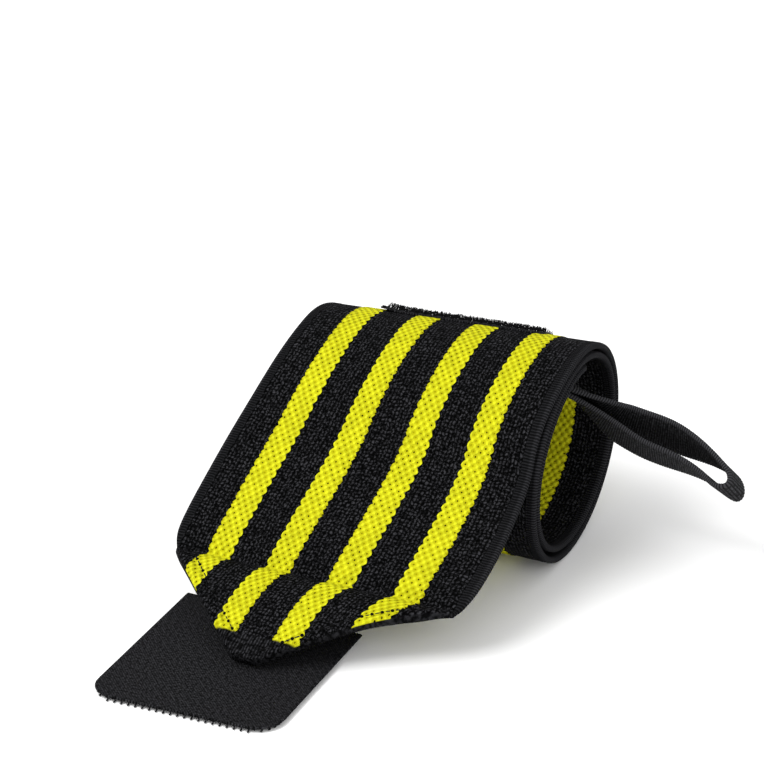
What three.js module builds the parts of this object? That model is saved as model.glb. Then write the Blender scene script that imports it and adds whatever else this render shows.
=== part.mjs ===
// A rolled wrist wrap: a striped elastic band with a hook tab, a pile patch and a thumb loop.
// Millimetres, +Z up. The roll lies along X and its free end runs towards -Y.
// The origin is on the surface that it lies on, under the middle of the whole.

import * as THREE from 'three';

// Elastic band
const BAND_WIDTH = 80;
const BAND_WALL = 1.7;
const SELVAGE_ROUND = 0.7;
const STRIPE_COUNT = 4;
const STRIPE_WIDTH = 6.7;
const STRIPE_PITCH = 17;
const STRIPE_RISE = 0.2;
const STRIPE_SHOULDER = 0.5;

// Roll: angles are counted from +Y towards +Z, from the inner end outwards
const HOLLOW_HEIGHT = 42;
const HOLLOW_WIDTH = 48.5;
const HOLLOW_LEAN_DEG = 25;
const LAYER_GAP = 0.35;
const ROLL_CONE = 0.8;
const INNER_TURN_LIFT = 0.7;
const INNER_END_DEG = 78;
const LEAVE_DEG = 822;
const ROLL_STEP_DEG = 12;

// Slope of the free end: its left edge leaves the roll at once, its right edge hugs it longer
const SEAM_REACH = 66.5;
const SEAM_HEIGHT = 14;
const SLOPE_STEPS = 16;
const LEFT_EDGE = { hugDeg: 0, leavePull: 20, seamPull: 20, seamFallDeg: 42 };
const RIGHT_EDGE = { hugDeg: 60, leavePull: 9, seamPull: 16, seamFallDeg: 26 };
const SWING_SHIFT = 12;
const SWING_REACH = 110;
const SEAM_DEPTH = 0.9;
const SEAM_HALF = 2.5;
const SELVAGE_FLARE = 4.5;
const FLARE_FROM = 0.25;

// Tapered end, from the seam to the tip
const TAPER_LENGTH = 31;
const TAPER_STEPS = 12;
const TAPER_RISE_DEG = 10;
const TAPER_FALL_DEG = 27;
const TIP_WIDTH = 8;
const CORNER_SOFTNESS = 2.5;
const FOLD_HALF = 3;

// Hook tab
const TAB_WIDTH = 51;
const TAB_WALL = 1.6;
const TAB_VISIBLE = 24.5;
const TAB_CORNER = 7;
const TAB_SIDE_SHIFT = -17;
const TAB_FRONT_SLANT = 0.05;
const TAB_ROUND = 0.4;
const TAB_BEYOND_SEAM = 1;

// Pile patch
const PATCH_WIDTH = 48;
const PATCH_LENGTH = 50;
const PATCH_WALL = 1.4;
const PATCH_SIDE_SHIFT = 0.6;
const PATCH_FRONT_DEG = 67;
const PATCH_ROUND = 0.5;

// Thumb loop
const LOOP_WIDTH = 15;
const LOOP_WALL = 1.3;
const LOOP_ROUND = 0.3;
const LOOP_NEAR_EDGE_DEG = 84;
const LOOP_SEWN = 16;
const LOOP_REACH = 40.8;
const LOOP_DROOP = 23.2;
const LOOP_ROOT_PULL = 7;
const LOOP_TIP_PULL = 16;
const LOOP_TIP_FALL_DEG = 46;
const LOOP_TIP_SWING_DEG = 34;
const LOOP_END_SHIFT = 1;
const LOOP_ROLL_DEG = 30;
const LOOP_TIP_ROLL_DEG = 7;
const LOOP_TIP_ROLL_FROM = 0.6;
const LOOP_FAN_DEG = 7;
const LOOP_OPENING = 7;
const LOOP_TIP_OPENING = 5.4;
const LOOP_DIP = 6;
const LOOP_DIP_AT = 0.4;
const LOOP_DIP_END = 1.05;
const LOOP_BEND_FROM = 0.92;
const LOOP_STEPS = 14;
const LOOP_END_STEPS = 8;

// Clearance between neighbouring pieces
const SEAT_GAP = 0.3;

const BAND_BLACK = 0x1d1d1f;
const TAPE_BLACK = 0x161617;
const PILE_BLACK = 0x1a1a1c;
const LOOP_BLACK = 0x18181a;

const ACROSS = new THREE.Vector3(1, 0, 0);
const { degToRad, lerp, smoothstep } = THREE.MathUtils;

const halfBand = BAND_WIDTH / 2;
const halfWall = BAND_WALL / 2;
const halfRidge = halfWall + STRIPE_RISE;
const layerPitch = 2 * halfRidge + LAYER_GAP;
const rollStep = degToRad(ROLL_STEP_DEG);
const innerEnd = degToRad(INNER_END_DEG);
const leaveAngle = degToRad(LEAVE_DEG);

// A closed solid from rings of points along a strip, with a flat cap at each end.
// A ring place has x, the distance across from the middle, and y, the height out of the strip.
function stripSolid(stations) {
  const ringSize = stations[0].ring.length;
  const positions = [];
  for (const { middle, across, out, ring, twist } of stations) {
    for (const place of ring) {
      const outHere = out.clone();
      if (twist) outHere.addScaledVector(twist, place.x).normalize();
      const point = middle.clone().addScaledVector(across, place.x);
      point.addScaledVector(outHere, place.y);
      positions.push(point.x, point.y, point.z);
    }
  }
  const indices = [];
  for (let row = 0; row + 1 < stations.length; row += 1) {
    for (let column = 0; column < ringSize; column += 1) {
      const here = row * ringSize + column;
      const beside = row * ringSize + ((column + 1) % ringSize);
      indices.push(here, beside, here + ringSize);
      indices.push(beside, beside + ringSize, here + ringSize);
    }
  }
  const lastRow = (stations.length - 1) * ringSize;
  for (const [a, b, c] of THREE.ShapeUtils.triangulateShape(stations[0].ring, [])) {
    indices.push(c, b, a);
  }
  for (const [a, b, c] of THREE.ShapeUtils.triangulateShape(stations.at(-1).ring, [])) {
    indices.push(lastRow + a, lastRow + b, lastRow + c);
  }
  const geometry = new THREE.BufferGeometry();
  geometry.setAttribute('position', new THREE.Float32BufferAttribute(positions, 3));
  geometry.setIndex(indices);
  geometry.computeVertexNormals();
  return geometry;
}

// A plain strip's ring: two faces and sides that bulge to their middle.
function plainRing(width, wall, round, camberRadius = 0) {
  const half = width / 2;
  const columns = camberRadius ? [-1, -0.5, 0, 0.5, 1] : [-1, 1];
  const sink = (x) => (camberRadius ? -(x * x) / (2 * camberRadius) : 0);
  const face = (height) => columns.map((share) => {
    const x = share * (half - round);
    return new THREE.Vector2(x, height + sink(x));
  });
  const rightSide = new THREE.Vector2(half, sink(half));
  const leftSide = new THREE.Vector2(-half, sink(half));
  return [...face(-wall / 2), rightSide, ...face(wall / 2).reverse(), leftSide];
}

// Where the woven face changes height: the selvages and both shoulders of each stripe.
function bandColumns() {
  const columns = [{ place: -halfBand + SELVAGE_ROUND, raised: 0 }];
  for (let stripe = 0; stripe < STRIPE_COUNT; stripe += 1) {
    const centre = (stripe - (STRIPE_COUNT - 1) / 2) * STRIPE_PITCH;
    const edge = STRIPE_WIDTH / 2;
    columns.push({ place: centre - edge - STRIPE_SHOULDER, raised: 0 });
    columns.push({ place: centre - edge, raised: 1 });
    columns.push({ place: centre + edge, raised: 1 });
    columns.push({ place: centre + edge + STRIPE_SHOULDER, raised: 0 });
  }
  columns.push({ place: halfBand - SELVAGE_ROUND, raised: 0 });
  return columns;
}

// The band's ring. Where the end tapers, what lies outside the half width is folded away, so
// those columns crowd into the folded edge and the stripes stop there.
function bandRing(half, over, under) {
  const foldEdge = Math.min(FOLD_HALF, half / 2);
  const inner = half - foldEdge;
  const squeeze = (foldEdge - SELVAGE_ROUND) / (halfBand - SELVAGE_ROUND - inner);
  const upper = [];
  const lower = [];
  for (const { place, raised } of bandColumns()) {
    const beyond = Math.max(Math.abs(place) - inner, 0);
    const across = Math.sign(place) * (Math.abs(place) - beyond * (1 - squeeze));
    const folded = half < halfBand ? smoothstep(beyond, 0, STRIPE_WIDTH / 2) : 0;
    const rise = raised * STRIPE_RISE * (1 - folded);
    upper.push(new THREE.Vector2(across, over + rise));
    lower.push(new THREE.Vector2(across, -under - rise));
  }
  const middle = (over - under) / 2;
  upper.reverse();
  return [...lower, new THREE.Vector2(half, middle), ...upper, new THREE.Vector2(-half, middle)];
}

// Distance from the roll's middle to the middle of the wall, at any angle of the winding.
function windingRadius(angle) {
  const mean = (HOLLOW_HEIGHT + HOLLOW_WIDTH) / 4 + halfRidge;
  const ovalness = (HOLLOW_WIDTH - HOLLOW_HEIGHT) / 4;
  const shape = mean + ovalness * Math.cos(2 * (angle - degToRad(HOLLOW_LEAN_DEG)));
  const fromBottom = (angle - degToRad(270)) / degToRad(50);
  const lift = INNER_TURN_LIFT * Math.exp(-fromBottom * fromBottom);
  return shape - lift + (layerPitch * (angle - innerEnd)) / (2 * Math.PI);
}

// Height of the roll's middle when its outermost turn rests on the surface.
function rollHeight() {
  let lowest = 0;
  for (let angle = innerEnd; angle < leaveAngle; angle += rollStep) {
    lowest = Math.min(lowest, windingRadius(angle) * Math.sin(angle));
  }
  return halfRidge - lowest;
}

const rollMiddle = rollHeight();

function windingPoint(angle, outward = 0) {
  const radius = windingRadius(angle) + outward;
  return new THREE.Vector3(0, radius * Math.cos(angle), rollMiddle + radius * Math.sin(angle));
}

// The roll is a little wider at its open right end, and rests along its whole length.
function coneAcross(angle) {
  const rate = ROLL_CONE / halfBand;
  return new THREE.Vector3(1, rate * Math.cos(angle), rate * (Math.sin(angle) + 1));
}

function windingTravel(angle) {
  const nudge = 0.01;
  return windingPoint(angle + nudge).sub(windingPoint(angle - nudge)).normalize();
}

// A direction in the YZ plane that falls by the given angle as it runs towards -Y.
function falling(degrees) {
  const angle = degToRad(degrees);
  return new THREE.Vector3(0, -Math.cos(angle), -Math.sin(angle));
}

function outOf(travel) {
  return new THREE.Vector3(0, travel.z, -travel.y).normalize();
}

const seam = new THREE.Vector3(0, -SEAM_REACH, SEAM_HEIGHT);

// One edge of the slope: it hugs the roll for a while, then runs out to the seam.
function slopeEdge({ hugDeg, leavePull, seamPull, seamFallDeg }) {
  const hugEnd = leaveAngle + degToRad(hugDeg);
  const points = [];
  for (let angle = leaveAngle - rollStep; angle < hugEnd - rollStep / 4; angle += rollStep / 2) {
    points.push(windingPoint(angle));
  }
  const leave = windingPoint(hugEnd);
  const run = new THREE.CubicBezierCurve3(
    leave,
    leave.clone().addScaledVector(windingTravel(hugEnd), leavePull),
    seam.clone().addScaledVector(falling(seamFallDeg), -seamPull),
    seam,
  );
  const path = new THREE.CatmullRomCurve3([...points, ...run.getPoints(SLOPE_STEPS)]);
  const skipped = windingPoint(leaveAngle).distanceTo(windingPoint(leaveAngle - rollStep));
  const start = skipped / path.getLength();
  return {
    point: (share) => path.getPointAt(lerp(start, 1, share)),
    travel: (share) => path.getTangentAt(lerp(start, 1, share)),
    length: path.getLength() - skipped,
  };
}

// The tapered end arches from the seam down to its tip, which lies on the hook tab.
const tipHeight = TAB_WALL + SEAT_GAP + STRIPE_RISE + BAND_WALL + halfWall;

function taperCurve() {
  const drop = SEAM_HEIGHT - tipHeight;
  const run = Math.sqrt(TAPER_LENGTH ** 2 - drop ** 2) * 0.97;
  const tip = new THREE.Vector3(0, -SEAM_REACH - run, tipHeight);
  return new THREE.CubicBezierCurve3(
    seam,
    seam.clone().addScaledVector(falling(-TAPER_RISE_DEG), TAPER_LENGTH / 3),
    tip.clone().addScaledVector(falling(TAPER_FALL_DEG), -TAPER_LENGTH / 3),
    tip,
  );
}

// The free end is swung sideways, more and more towards its tip.
function swing(y) {
  return -SWING_SHIFT * smoothstep(-y, 0, SWING_REACH);
}

function seamRelief(distance) {
  return -SEAM_DEPTH * Math.exp(-((distance / SEAM_HALF) ** 2));
}

function rollStations() {
  const stations = [];
  const steps = Math.round((leaveAngle - innerEnd) / rollStep);
  for (let index = 0; index <= steps; index += 1) {
    const angle = innerEnd + index * rollStep;
    const out = outOf(windingTravel(angle));
    const ring = bandRing(halfBand, halfWall, halfWall);
    stations.push({ middle: windingPoint(angle), across: coneAcross(angle), out, ring });
  }
  return stations;
}

// Half the width at a distance past the seam: full before it, then narrowing to the tip.
function taperHalf(beyondSeam) {
  const narrowing = (halfBand - TIP_WIDTH / 2) / TAPER_LENGTH;
  const corner = CORNER_SOFTNESS * Math.log1p(Math.exp(beyondSeam / CORNER_SOFTNESS));
  return halfBand - narrowing * corner;
}

// The right selvage is stretched, so the cloth beside it flares out towards the seam.
function flareRing(ring, flare) {
  return ring.map(({ x, y }) => {
    const share = (x + halfBand) / BAND_WIDTH;
    return new THREE.Vector2(x + flare * share ** 3, y);
  });
}

// Between its two edges the slope is ruled straight across.
function slopeStations() {
  const left = slopeEdge(LEFT_EDGE);
  const right = slopeEdge(RIGHT_EDGE);
  const leaveAcross = coneAcross(leaveAngle);
  const stations = [];
  for (let index = 1; index <= SLOPE_STEPS; index += 1) {
    const share = Math.sin(((index / SLOPE_STEPS) * Math.PI) / 2);
    const leftPoint = left.point(share).addScaledVector(leaveAcross, -halfBand * (1 - share));
    const rightPoint = right.point(share).addScaledVector(leaveAcross, halfBand * (1 - share));
    leftPoint.x = swing(leftPoint.y) - halfBand;
    rightPoint.x = swing(rightPoint.y) + halfBand;
    const across = rightPoint.clone().sub(leftPoint).divideScalar(BAND_WIDTH);
    const leftOut = outOf(left.travel(share));
    const rightOut = outOf(right.travel(share));
    const out = leftOut.clone().add(rightOut).divideScalar(2);
    const twist = rightOut.clone().sub(leftOut).divideScalar(BAND_WIDTH);
    const middle = leftPoint.clone().add(rightPoint).divideScalar(2);
    const beyondSeam = (share - 1) * left.length;
    middle.addScaledVector(out, seamRelief(beyondSeam));
    const flare = SELVAGE_FLARE * smoothstep(share, FLARE_FROM, 1);
    const ring = flareRing(bandRing(taperHalf(beyondSeam), halfWall, halfWall), flare);
    stations.push({ middle, across, out, ring, twist });
  }
  return stations;
}

// The corners are folded under, so the end is two walls thick and narrows to a blunt tip.
function taperStations() {
  const taper = taperCurve();
  const stations = [];
  for (let index = 1; index <= TAPER_STEPS; index += 1) {
    const share = (index / TAPER_STEPS) ** 1.3;
    const beyondSeam = share * TAPER_LENGTH;
    const folded = BAND_WALL * smoothstep(share, 0, 0.2);
    const middle = taper.getPointAt(share);
    middle.x = swing(middle.y);
    const out = outOf(taper.getTangentAt(share));
    middle.addScaledVector(out, seamRelief(beyondSeam));
    const flare = SELVAGE_FLARE * (1 - smoothstep(share, 0, 0.5));
    const ring = flareRing(bandRing(taperHalf(beyondSeam), halfWall, halfWall + folded), flare);
    stations.push({ middle, across: ACROSS, out, ring });
  }
  return stations;
}

function elasticBand() {
  return stripSolid([...rollStations(), ...slopeStations(), ...taperStations()]);
}

// The tab lies flat under the arch of the tapered end and runs out past its tip.
function hookTab() {
  const half = TAB_WALL / 2;
  const out = new THREE.Vector3(0, 0, 1);
  const tip = taperCurve().getPoint(1);
  const front = tip.y - TAB_VISIBLE;
  const root = new THREE.Vector3(TAB_SIDE_SHIFT, -SEAM_REACH - TAB_BEYOND_SEAM, half);
  const fullRing = plainRing(TAB_WIDTH, TAB_WALL, TAB_ROUND);
  const stations = [
    { middle: root, across: ACROSS, out, ring: fullRing },
    { middle: root.clone().setY(tip.y), across: ACROSS, out, ring: fullRing },
  ];
  const slanted = new THREE.Vector3(1, TAB_FRONT_SLANT, 0);
  for (const share of [0, 0.4, 0.7, 0.9]) {
    const quarter = (share * Math.PI) / 2;
    const inset = TAB_CORNER * (1 - Math.cos(quarter));
    const middle = root.clone().setY(front + TAB_CORNER * (1 - Math.sin(quarter)));
    const ring = plainRing(TAB_WIDTH - 2 * inset, TAB_WALL, TAB_ROUND);
    stations.push({ middle, across: slanted, out, ring });
  }
  return stripSolid(stations);
}

// The patch lies on the outermost turn, from just behind the top down the back.
function pilePatch() {
  const stations = [];
  const front = degToRad(PATCH_FRONT_DEG + 720);
  const outward = halfRidge + SEAT_GAP + PATCH_WALL / 2;
  const span = PATCH_LENGTH / (windingRadius(front) + outward);
  const steps = Math.round(span / rollStep);
  for (let index = 0; index <= steps; index += 1) {
    const angle = front - span + (index * span) / steps;
    const across = coneAcross(angle);
    const middle = windingPoint(angle, outward).addScaledVector(across, PATCH_SIDE_SHIFT);
    const ring = plainRing(PATCH_WIDTH, PATCH_WALL, PATCH_ROUND);
    stations.push({ middle, across, out: outOf(windingTravel(angle)), ring });
  }
  return stripSolid(stations);
}

// The loop's middle line: along the roof of the hollow, out of the roll, then drooping.
function loopAxis(root, angle) {
  const start = root.clone().addScaledVector(coneAcross(angle), halfBand - LOOP_SEWN);
  const end = new THREE.Vector3(halfBand + LOOP_REACH, root.y - LOOP_END_SHIFT, root.z - LOOP_DROOP);
  const fall = degToRad(LOOP_TIP_FALL_DEG);
  const aside = degToRad(LOOP_TIP_SWING_DEG);
  const arrive = new THREE.Vector3(Math.cos(fall), -Math.tan(aside), -Math.sin(fall)).normalize();
  return new THREE.CubicBezierCurve3(
    start,
    start.clone().addScaledVector(ACROSS, LOOP_ROOT_PULL),
    end.clone().addScaledVector(arrive, -LOOP_TIP_PULL),
    end,
  );
}

// Half the distance between the two strands, and how far along the axis, round the loop.
function loopOutline() {
  const closed = (LOOP_WALL + SEAT_GAP) / 2;
  const open = LOOP_OPENING / 2;
  const tip = LOOP_TIP_OPENING / 2;
  const outline = [];
  for (let index = 0; index <= LOOP_STEPS; index += 1) {
    const along = (index / LOOP_STEPS) * LOOP_BEND_FROM;
    const opened = lerp(closed, open, smoothstep(along, 0, 0.6));
    outline.push({ along, aside: lerp(opened, tip, smoothstep(along, 0.5, LOOP_BEND_FROM)) });
  }
  const strand = outline.slice(0, -1);
  const end = [];
  for (let index = 0; index <= LOOP_END_STEPS; index += 1) {
    const turn = Math.PI * (index / LOOP_END_STEPS);
    const along = lerp(LOOP_BEND_FROM, 1, Math.sin(turn));
    end.push({ along, aside: tip * Math.cos(turn) });
  }
  const back = strand.map(({ along, aside }) => ({ along, aside: -aside })).reverse();
  return [...strand, ...end, ...back];
}

// The strap sags where it leaves the roll and then springs back to its line.
function loopDip(along) {
  const sunk = smoothstep(along, 0, LOOP_DIP_AT);
  return LOOP_DIP * sunk * (1 - smoothstep(along, LOOP_DIP_AT, LOOP_DIP_END));
}

function thumbLoop() {
  const nearEdge = degToRad(LOOP_NEAR_EDGE_DEG);
  const ceiling = windingRadius(degToRad(INNER_END_DEG)) - halfRidge - SEAT_GAP;
  const spread = LOOP_WIDTH / 2 / ceiling;
  const angle = nearEdge - spread;
  const rootRadius = ceiling - LOOP_WALL - SEAT_GAP / 2;
  const root = new THREE.Vector3(0, Math.cos(angle), Math.sin(angle)).multiplyScalar(rootRadius);
  root.z += rollMiddle;
  const axis = loopAxis(root, angle);
  const widthAtRoot = new THREE.Vector3(0, Math.sin(angle), -Math.cos(angle));
  const places = loopOutline().map(({ along, aside }) => {
    const forward = axis.getTangentAt(along);
    const width = widthAtRoot.clone().addScaledVector(forward, -widthAtRoot.dot(forward)).normalize();
    const fan = (LOOP_FAN_DEG * aside) / (LOOP_OPENING / 2);
    const rolled = lerp(LOOP_ROLL_DEG + fan, LOOP_TIP_ROLL_DEG, smoothstep(along, LOOP_TIP_ROLL_FROM, 1));
    const roll = degToRad(rolled) * smoothstep(along, 0.08, 0.42);
    width.applyAxisAngle(forward, -roll);
    const lift = forward.clone().cross(width);
    const middle = axis.getPointAt(along).addScaledVector(lift, aside);
    middle.z -= loopDip(along);
    return { middle, width, along };
  });
  const stations = places.map(({ middle, width, along }, index) => {
    const before = places[Math.max(index - 1, 0)].middle;
    const after = places[Math.min(index + 1, places.length - 1)].middle;
    const travel = after.clone().sub(before);
    const across = width.clone().addScaledVector(travel, -width.dot(travel) / travel.lengthSq());
    across.normalize();
    const out = travel.normalize().cross(across);
    const upperStrand = index < places.length / 2 ? 1 : -1;
    const camber = (upperStrand * rootRadius) / (1.001 - smoothstep(along, 0.08, 0.3));
    const ring = plainRing(LOOP_WIDTH, LOOP_WALL, LOOP_ROUND, camber);
    return { middle, across, out, ring };
  });
  return stripSolid(stations);
}

function piece(name, geometry, color, roughness) {
  const material = new THREE.MeshStandardMaterial({ color, roughness, metalness: 0 });
  const mesh = new THREE.Mesh(geometry, material);
  mesh.name = name;
  return mesh;
}

const wrap = new THREE.Group();
wrap.add(piece('elastic_band', elasticBand(), BAND_BLACK, 0.85));
wrap.add(piece('hook_tab', hookTab(), TAPE_BLACK, 0.75));
wrap.add(piece('pile_patch', pilePatch(), PILE_BLACK, 0.95));
wrap.add(piece('thumb_loop', thumbLoop(), LOOP_BLACK, 0.8));

const whole = new THREE.Box3().setFromObject(wrap);
const wholeMiddle = whole.getCenter(new THREE.Vector3());
for (const mesh of wrap.children) {
  mesh.geometry.translate(-wholeMiddle.x, -wholeMiddle.y, -whole.min.z);
}

export default wrap;
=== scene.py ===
# %% [markdown]
# # A rolled wrist wrap
# A wrist wrap is one long elastic band, 80 mm wide, with a hook tab sewn to its tapered end, a patch
# of pile for the hooks to grip, and a thumb loop at the other end. Here it lies rolled up, with its
# free end running down to the surface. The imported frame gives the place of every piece, and this
# notebook gives each one its cloth.

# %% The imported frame
import math

import bpy
import numpy as np
from mathutils import Matrix, Vector


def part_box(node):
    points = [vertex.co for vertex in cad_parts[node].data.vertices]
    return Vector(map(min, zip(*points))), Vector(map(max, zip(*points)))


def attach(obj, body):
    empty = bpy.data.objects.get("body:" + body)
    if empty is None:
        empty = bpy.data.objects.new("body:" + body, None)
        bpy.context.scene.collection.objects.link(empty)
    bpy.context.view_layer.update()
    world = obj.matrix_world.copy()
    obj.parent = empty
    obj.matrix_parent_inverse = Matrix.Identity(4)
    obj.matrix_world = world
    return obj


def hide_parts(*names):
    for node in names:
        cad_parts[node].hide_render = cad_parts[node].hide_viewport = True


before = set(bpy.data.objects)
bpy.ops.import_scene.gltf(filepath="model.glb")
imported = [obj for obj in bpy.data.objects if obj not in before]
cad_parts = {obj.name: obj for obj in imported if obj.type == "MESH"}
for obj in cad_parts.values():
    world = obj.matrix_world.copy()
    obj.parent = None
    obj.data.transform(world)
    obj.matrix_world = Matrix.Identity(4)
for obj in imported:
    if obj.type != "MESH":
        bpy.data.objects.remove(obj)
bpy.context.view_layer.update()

# %% [markdown]
# ## Sizes of the band
# The band's cloth follows the same rule as the frame's solid: a spiral that starts at the inner end,
# winds a little over two turns and then runs down in a slope. A rule is used, not a copy of the
# solid's mesh, because every thread pattern needs to know how far along and across the cloth it is.

# %% Driving dimensions, in millimetres
# The edges' hug and seam_fall, TAPER_RISE and TAPER_FALL are angles in degrees, and FLARE_FROM is a
# share of the slope's length.
MM = 0.001

BAND_WIDTH = 80.0
BAND_WALL = 1.7
STRIPE_WIDTH = 6.7
STRIPE_PITCH = 17.0
STRIPE_RISE = 0.2
SELVAGE_WIDTH = 3.0
SELVAGE_RIB = 0.75
SELVAGE_BLEND = 0.4
STRIPE_SHOULDER = 0.5

HOLLOW_HEIGHT = 42.0
HOLLOW_WIDTH = 48.5
HOLLOW_LEAN = math.radians(25)
LAYER_GAP = 0.35
ROLL_CONE = 0.8
INNER_TURN_LIFT = 0.7
INNER_END = math.radians(78)
LEAVE = math.radians(822)

SEAM_REACH = 66.5
SEAM_HEIGHT = 14.0
LEFT_EDGE = {"hug": 0, "leave_pull": 20, "seam_pull": 20, "seam_fall": 42}
RIGHT_EDGE = {"hug": 60, "leave_pull": 9, "seam_pull": 16, "seam_fall": 26}
SWING_SHIFT = 12.0
SWING_REACH = 110.0
SEAM_DEPTH = 0.9
SEAM_HALF = 2.5
SELVAGE_FLARE = 4.5
FLARE_FROM = 0.25

TAPER_LENGTH = 31.0
TAPER_RISE = 10
TAPER_FALL = 27
TIP_WIDTH = 8.0
CORNER_SOFTNESS = 2.5

TAB_WIDTH = 51.0
TAB_WALL = 1.6
TAB_VISIBLE = 24.5
TAB_CORNER = 7.0
TAB_SIDE_SHIFT = -17.0
TAB_FRONT_SLANT = 0.05
TAB_BEYOND_SEAM = 1.0
SEAT_GAP = 0.3

HALF_BAND = BAND_WIDTH / 2
HALF_WALL = BAND_WALL / 2
HALF_RIDGE = HALF_WALL + STRIPE_RISE
LAYER_PITCH = 2 * HALF_RIDGE + LAYER_GAP

# %% The frame's origin
# The sizes above count from the middle of the roll's axis. The hook tab's corner in the packed
# frame tells how far that is from the frame's origin.
tab_low, tab_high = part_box("hook_tab")
ORIGIN = np.array([
    tab_low[0] - (TAB_SIDE_SHIFT - TAB_WIDTH / 2) * MM,
    tab_high[1] + (SEAM_REACH + TAB_BEYOND_SEAM) * MM,
    0.0,
])
print("roll's axis in the frame", ORIGIN.round(4))

# %% [markdown]
# ## Helpers
# A few small tools serve every piece: one blends smoothly between two values, one turns a list of
# rings into a mesh, and one adds a node with its settings and its links.

# %% Smooth steps and curves
def smoothstep(value, low, high):
    t = np.clip((value - low) / (high - low), 0.0, 1.0)
    return t * t * (3 - 2 * t)


def bezier(a, b, c, d, count):
    t = np.linspace(0, 1, count)[:, None]
    return (1 - t) ** 3 * a + 3 * (1 - t) ** 2 * t * b + 3 * (1 - t) * t ** 2 * c + t ** 3 * d


def unit(vectors):
    return vectors / np.linalg.norm(vectors, axis=-1, keepdims=True)


def arc_lengths(points):
    steps = np.linalg.norm(np.diff(points, axis=0), axis=1)
    return np.concatenate([[0.0], np.cumsum(steps)])


def sample(table, places, wanted):
    """Rows of a table at the wanted places, with straight blends between the known ones."""
    table = np.asarray(table, float).reshape(len(places), -1)
    return np.stack([np.interp(wanted, places, column) for column in table.T], -1)


# %% Rings into a mesh
def closed_faces(rows, half_ring):
    """Faces of a strip: each ring has half_ring places below and as many above, ends shared."""
    ring = 2 * half_ring - 2
    row = np.arange(rows - 1)[:, None] * ring
    here = row + np.arange(ring)[None]
    beside = row + (np.arange(ring)[None] + 1) % ring
    faces = np.stack([here, beside, beside + ring, here + ring], -1).reshape(-1, 4).tolist()
    top = [0, *[ring - place for place in range(1, half_ring - 1)], half_ring - 1]
    last = (rows - 1) * ring
    for place in range(half_ring - 1):
        loop = [place, place + 1, top[place + 1], top[place]]
        loop = list(dict.fromkeys(loop))
        faces.append([last + corner for corner in loop])
        faces.append(loop[::-1])
    return faces


def cloth_piece(name, points, faces, cloth):
    """A mesh in the frame, with each point's place in the flat cloth kept as an attribute."""
    mesh = bpy.data.meshes.new(name)
    mesh.from_pydata((points.reshape(-1, 3) * MM + ORIGIN).tolist(), [], faces)
    places = mesh.attributes.new("cloth", "FLOAT_VECTOR", "POINT")
    places.data.foreach_set("vector", cloth.astype(np.float32).ravel())
    mesh.polygons.foreach_set("use_smooth", [True] * len(mesh.polygons))
    mesh.update()
    piece = bpy.data.objects.new(name, mesh)
    bpy.context.scene.collection.objects.link(piece)
    triangles = sum(len(face) - 2 for face in faces)
    print(name, "has", len(mesh.vertices), "points and", triangles, "triangles")
    return piece


# %% Nodes and colours
def add(tree, kind, inputs=None, **settings):
    """Adds one node, sets its settings, and fills or links its inputs."""
    new = tree.nodes.new(kind)
    for name, value in settings.items():
        setattr(new, name, value)
    for key, value in (inputs or {}).items():
        if isinstance(value, bpy.types.NodeSocket):
            tree.links.new(value, new.inputs[key])
        else:
            new.inputs[key].default_value = value
    return new


CLOTH_GLOSS = 0.02


def finish_cloth(tree, bump, roughness, sheen=0.0):
    """Matte yarn: rough, hardly glossy at all, and with its threads as bumps."""
    shader = tree.nodes["Principled BSDF"]
    tree.links.new(bump.outputs[0], shader.inputs["Normal"])
    shader.inputs["Roughness"].default_value = roughness
    shader.inputs["Sheen Weight"].default_value = sheen
    shader.inputs["Specular IOR Level"].default_value = CLOTH_GLOSS


def linear(code):
    channels = [int(code[place:place + 2], 16) / 255 for place in (1, 3, 5)]
    curve = [c / 12.92 if c <= 0.04045 else ((c + 0.055) / 1.055) ** 2.4 for c in channels]
    return (*curve, 1.0)


# %% [markdown]
# ## The elastic band
# The band is woven flat and only bends along its length, so it is made as a row of rings: each ring
# is one line of weft across the cloth. The rings follow the winding, then the slope, which is ruled
# straight between its two edges, and then the arched taper whose corners are folded under.

# %% The winding
def winding_radius(angle):
    mean = (HOLLOW_HEIGHT + HOLLOW_WIDTH) / 4 + HALF_RIDGE
    ovalness = (HOLLOW_WIDTH - HOLLOW_HEIGHT) / 4
    shape = mean + ovalness * np.cos(2 * (angle - HOLLOW_LEAN))
    lift = INNER_TURN_LIFT * np.exp(-((angle - math.radians(270)) / math.radians(50)) ** 2)
    return shape - lift + LAYER_PITCH * (angle - INNER_END) / (2 * math.pi)


turns = np.linspace(INNER_END, LEAVE, 500)
ROLL_MIDDLE = HALF_RIDGE - np.min(winding_radius(turns) * np.sin(turns))


def winding_point(angle, outward=0.0):
    angle = np.asarray(angle, float)
    radius = winding_radius(angle) + outward
    height = ROLL_MIDDLE + radius * np.sin(angle)
    return np.stack([0 * angle, radius * np.cos(angle), height], -1)


def winding_travel(angle):
    return unit(winding_point(angle + 0.01) - winding_point(angle - 0.01))


def cone_across(angle):
    angle = np.asarray(angle, float)
    rate = ROLL_CONE / HALF_BAND
    return np.stack([1 + 0 * angle, rate * np.cos(angle), rate * (np.sin(angle) + 1)], -1)


def out_of(travel):
    return unit(np.stack([0 * travel[..., 0], travel[..., 2], -travel[..., 1]], -1))


def falling(degrees):
    angle = math.radians(degrees)
    return np.array([0.0, -math.cos(angle), -math.sin(angle)])


print("the roll's middle is", round(float(ROLL_MIDDLE), 2), "mm high")

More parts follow.
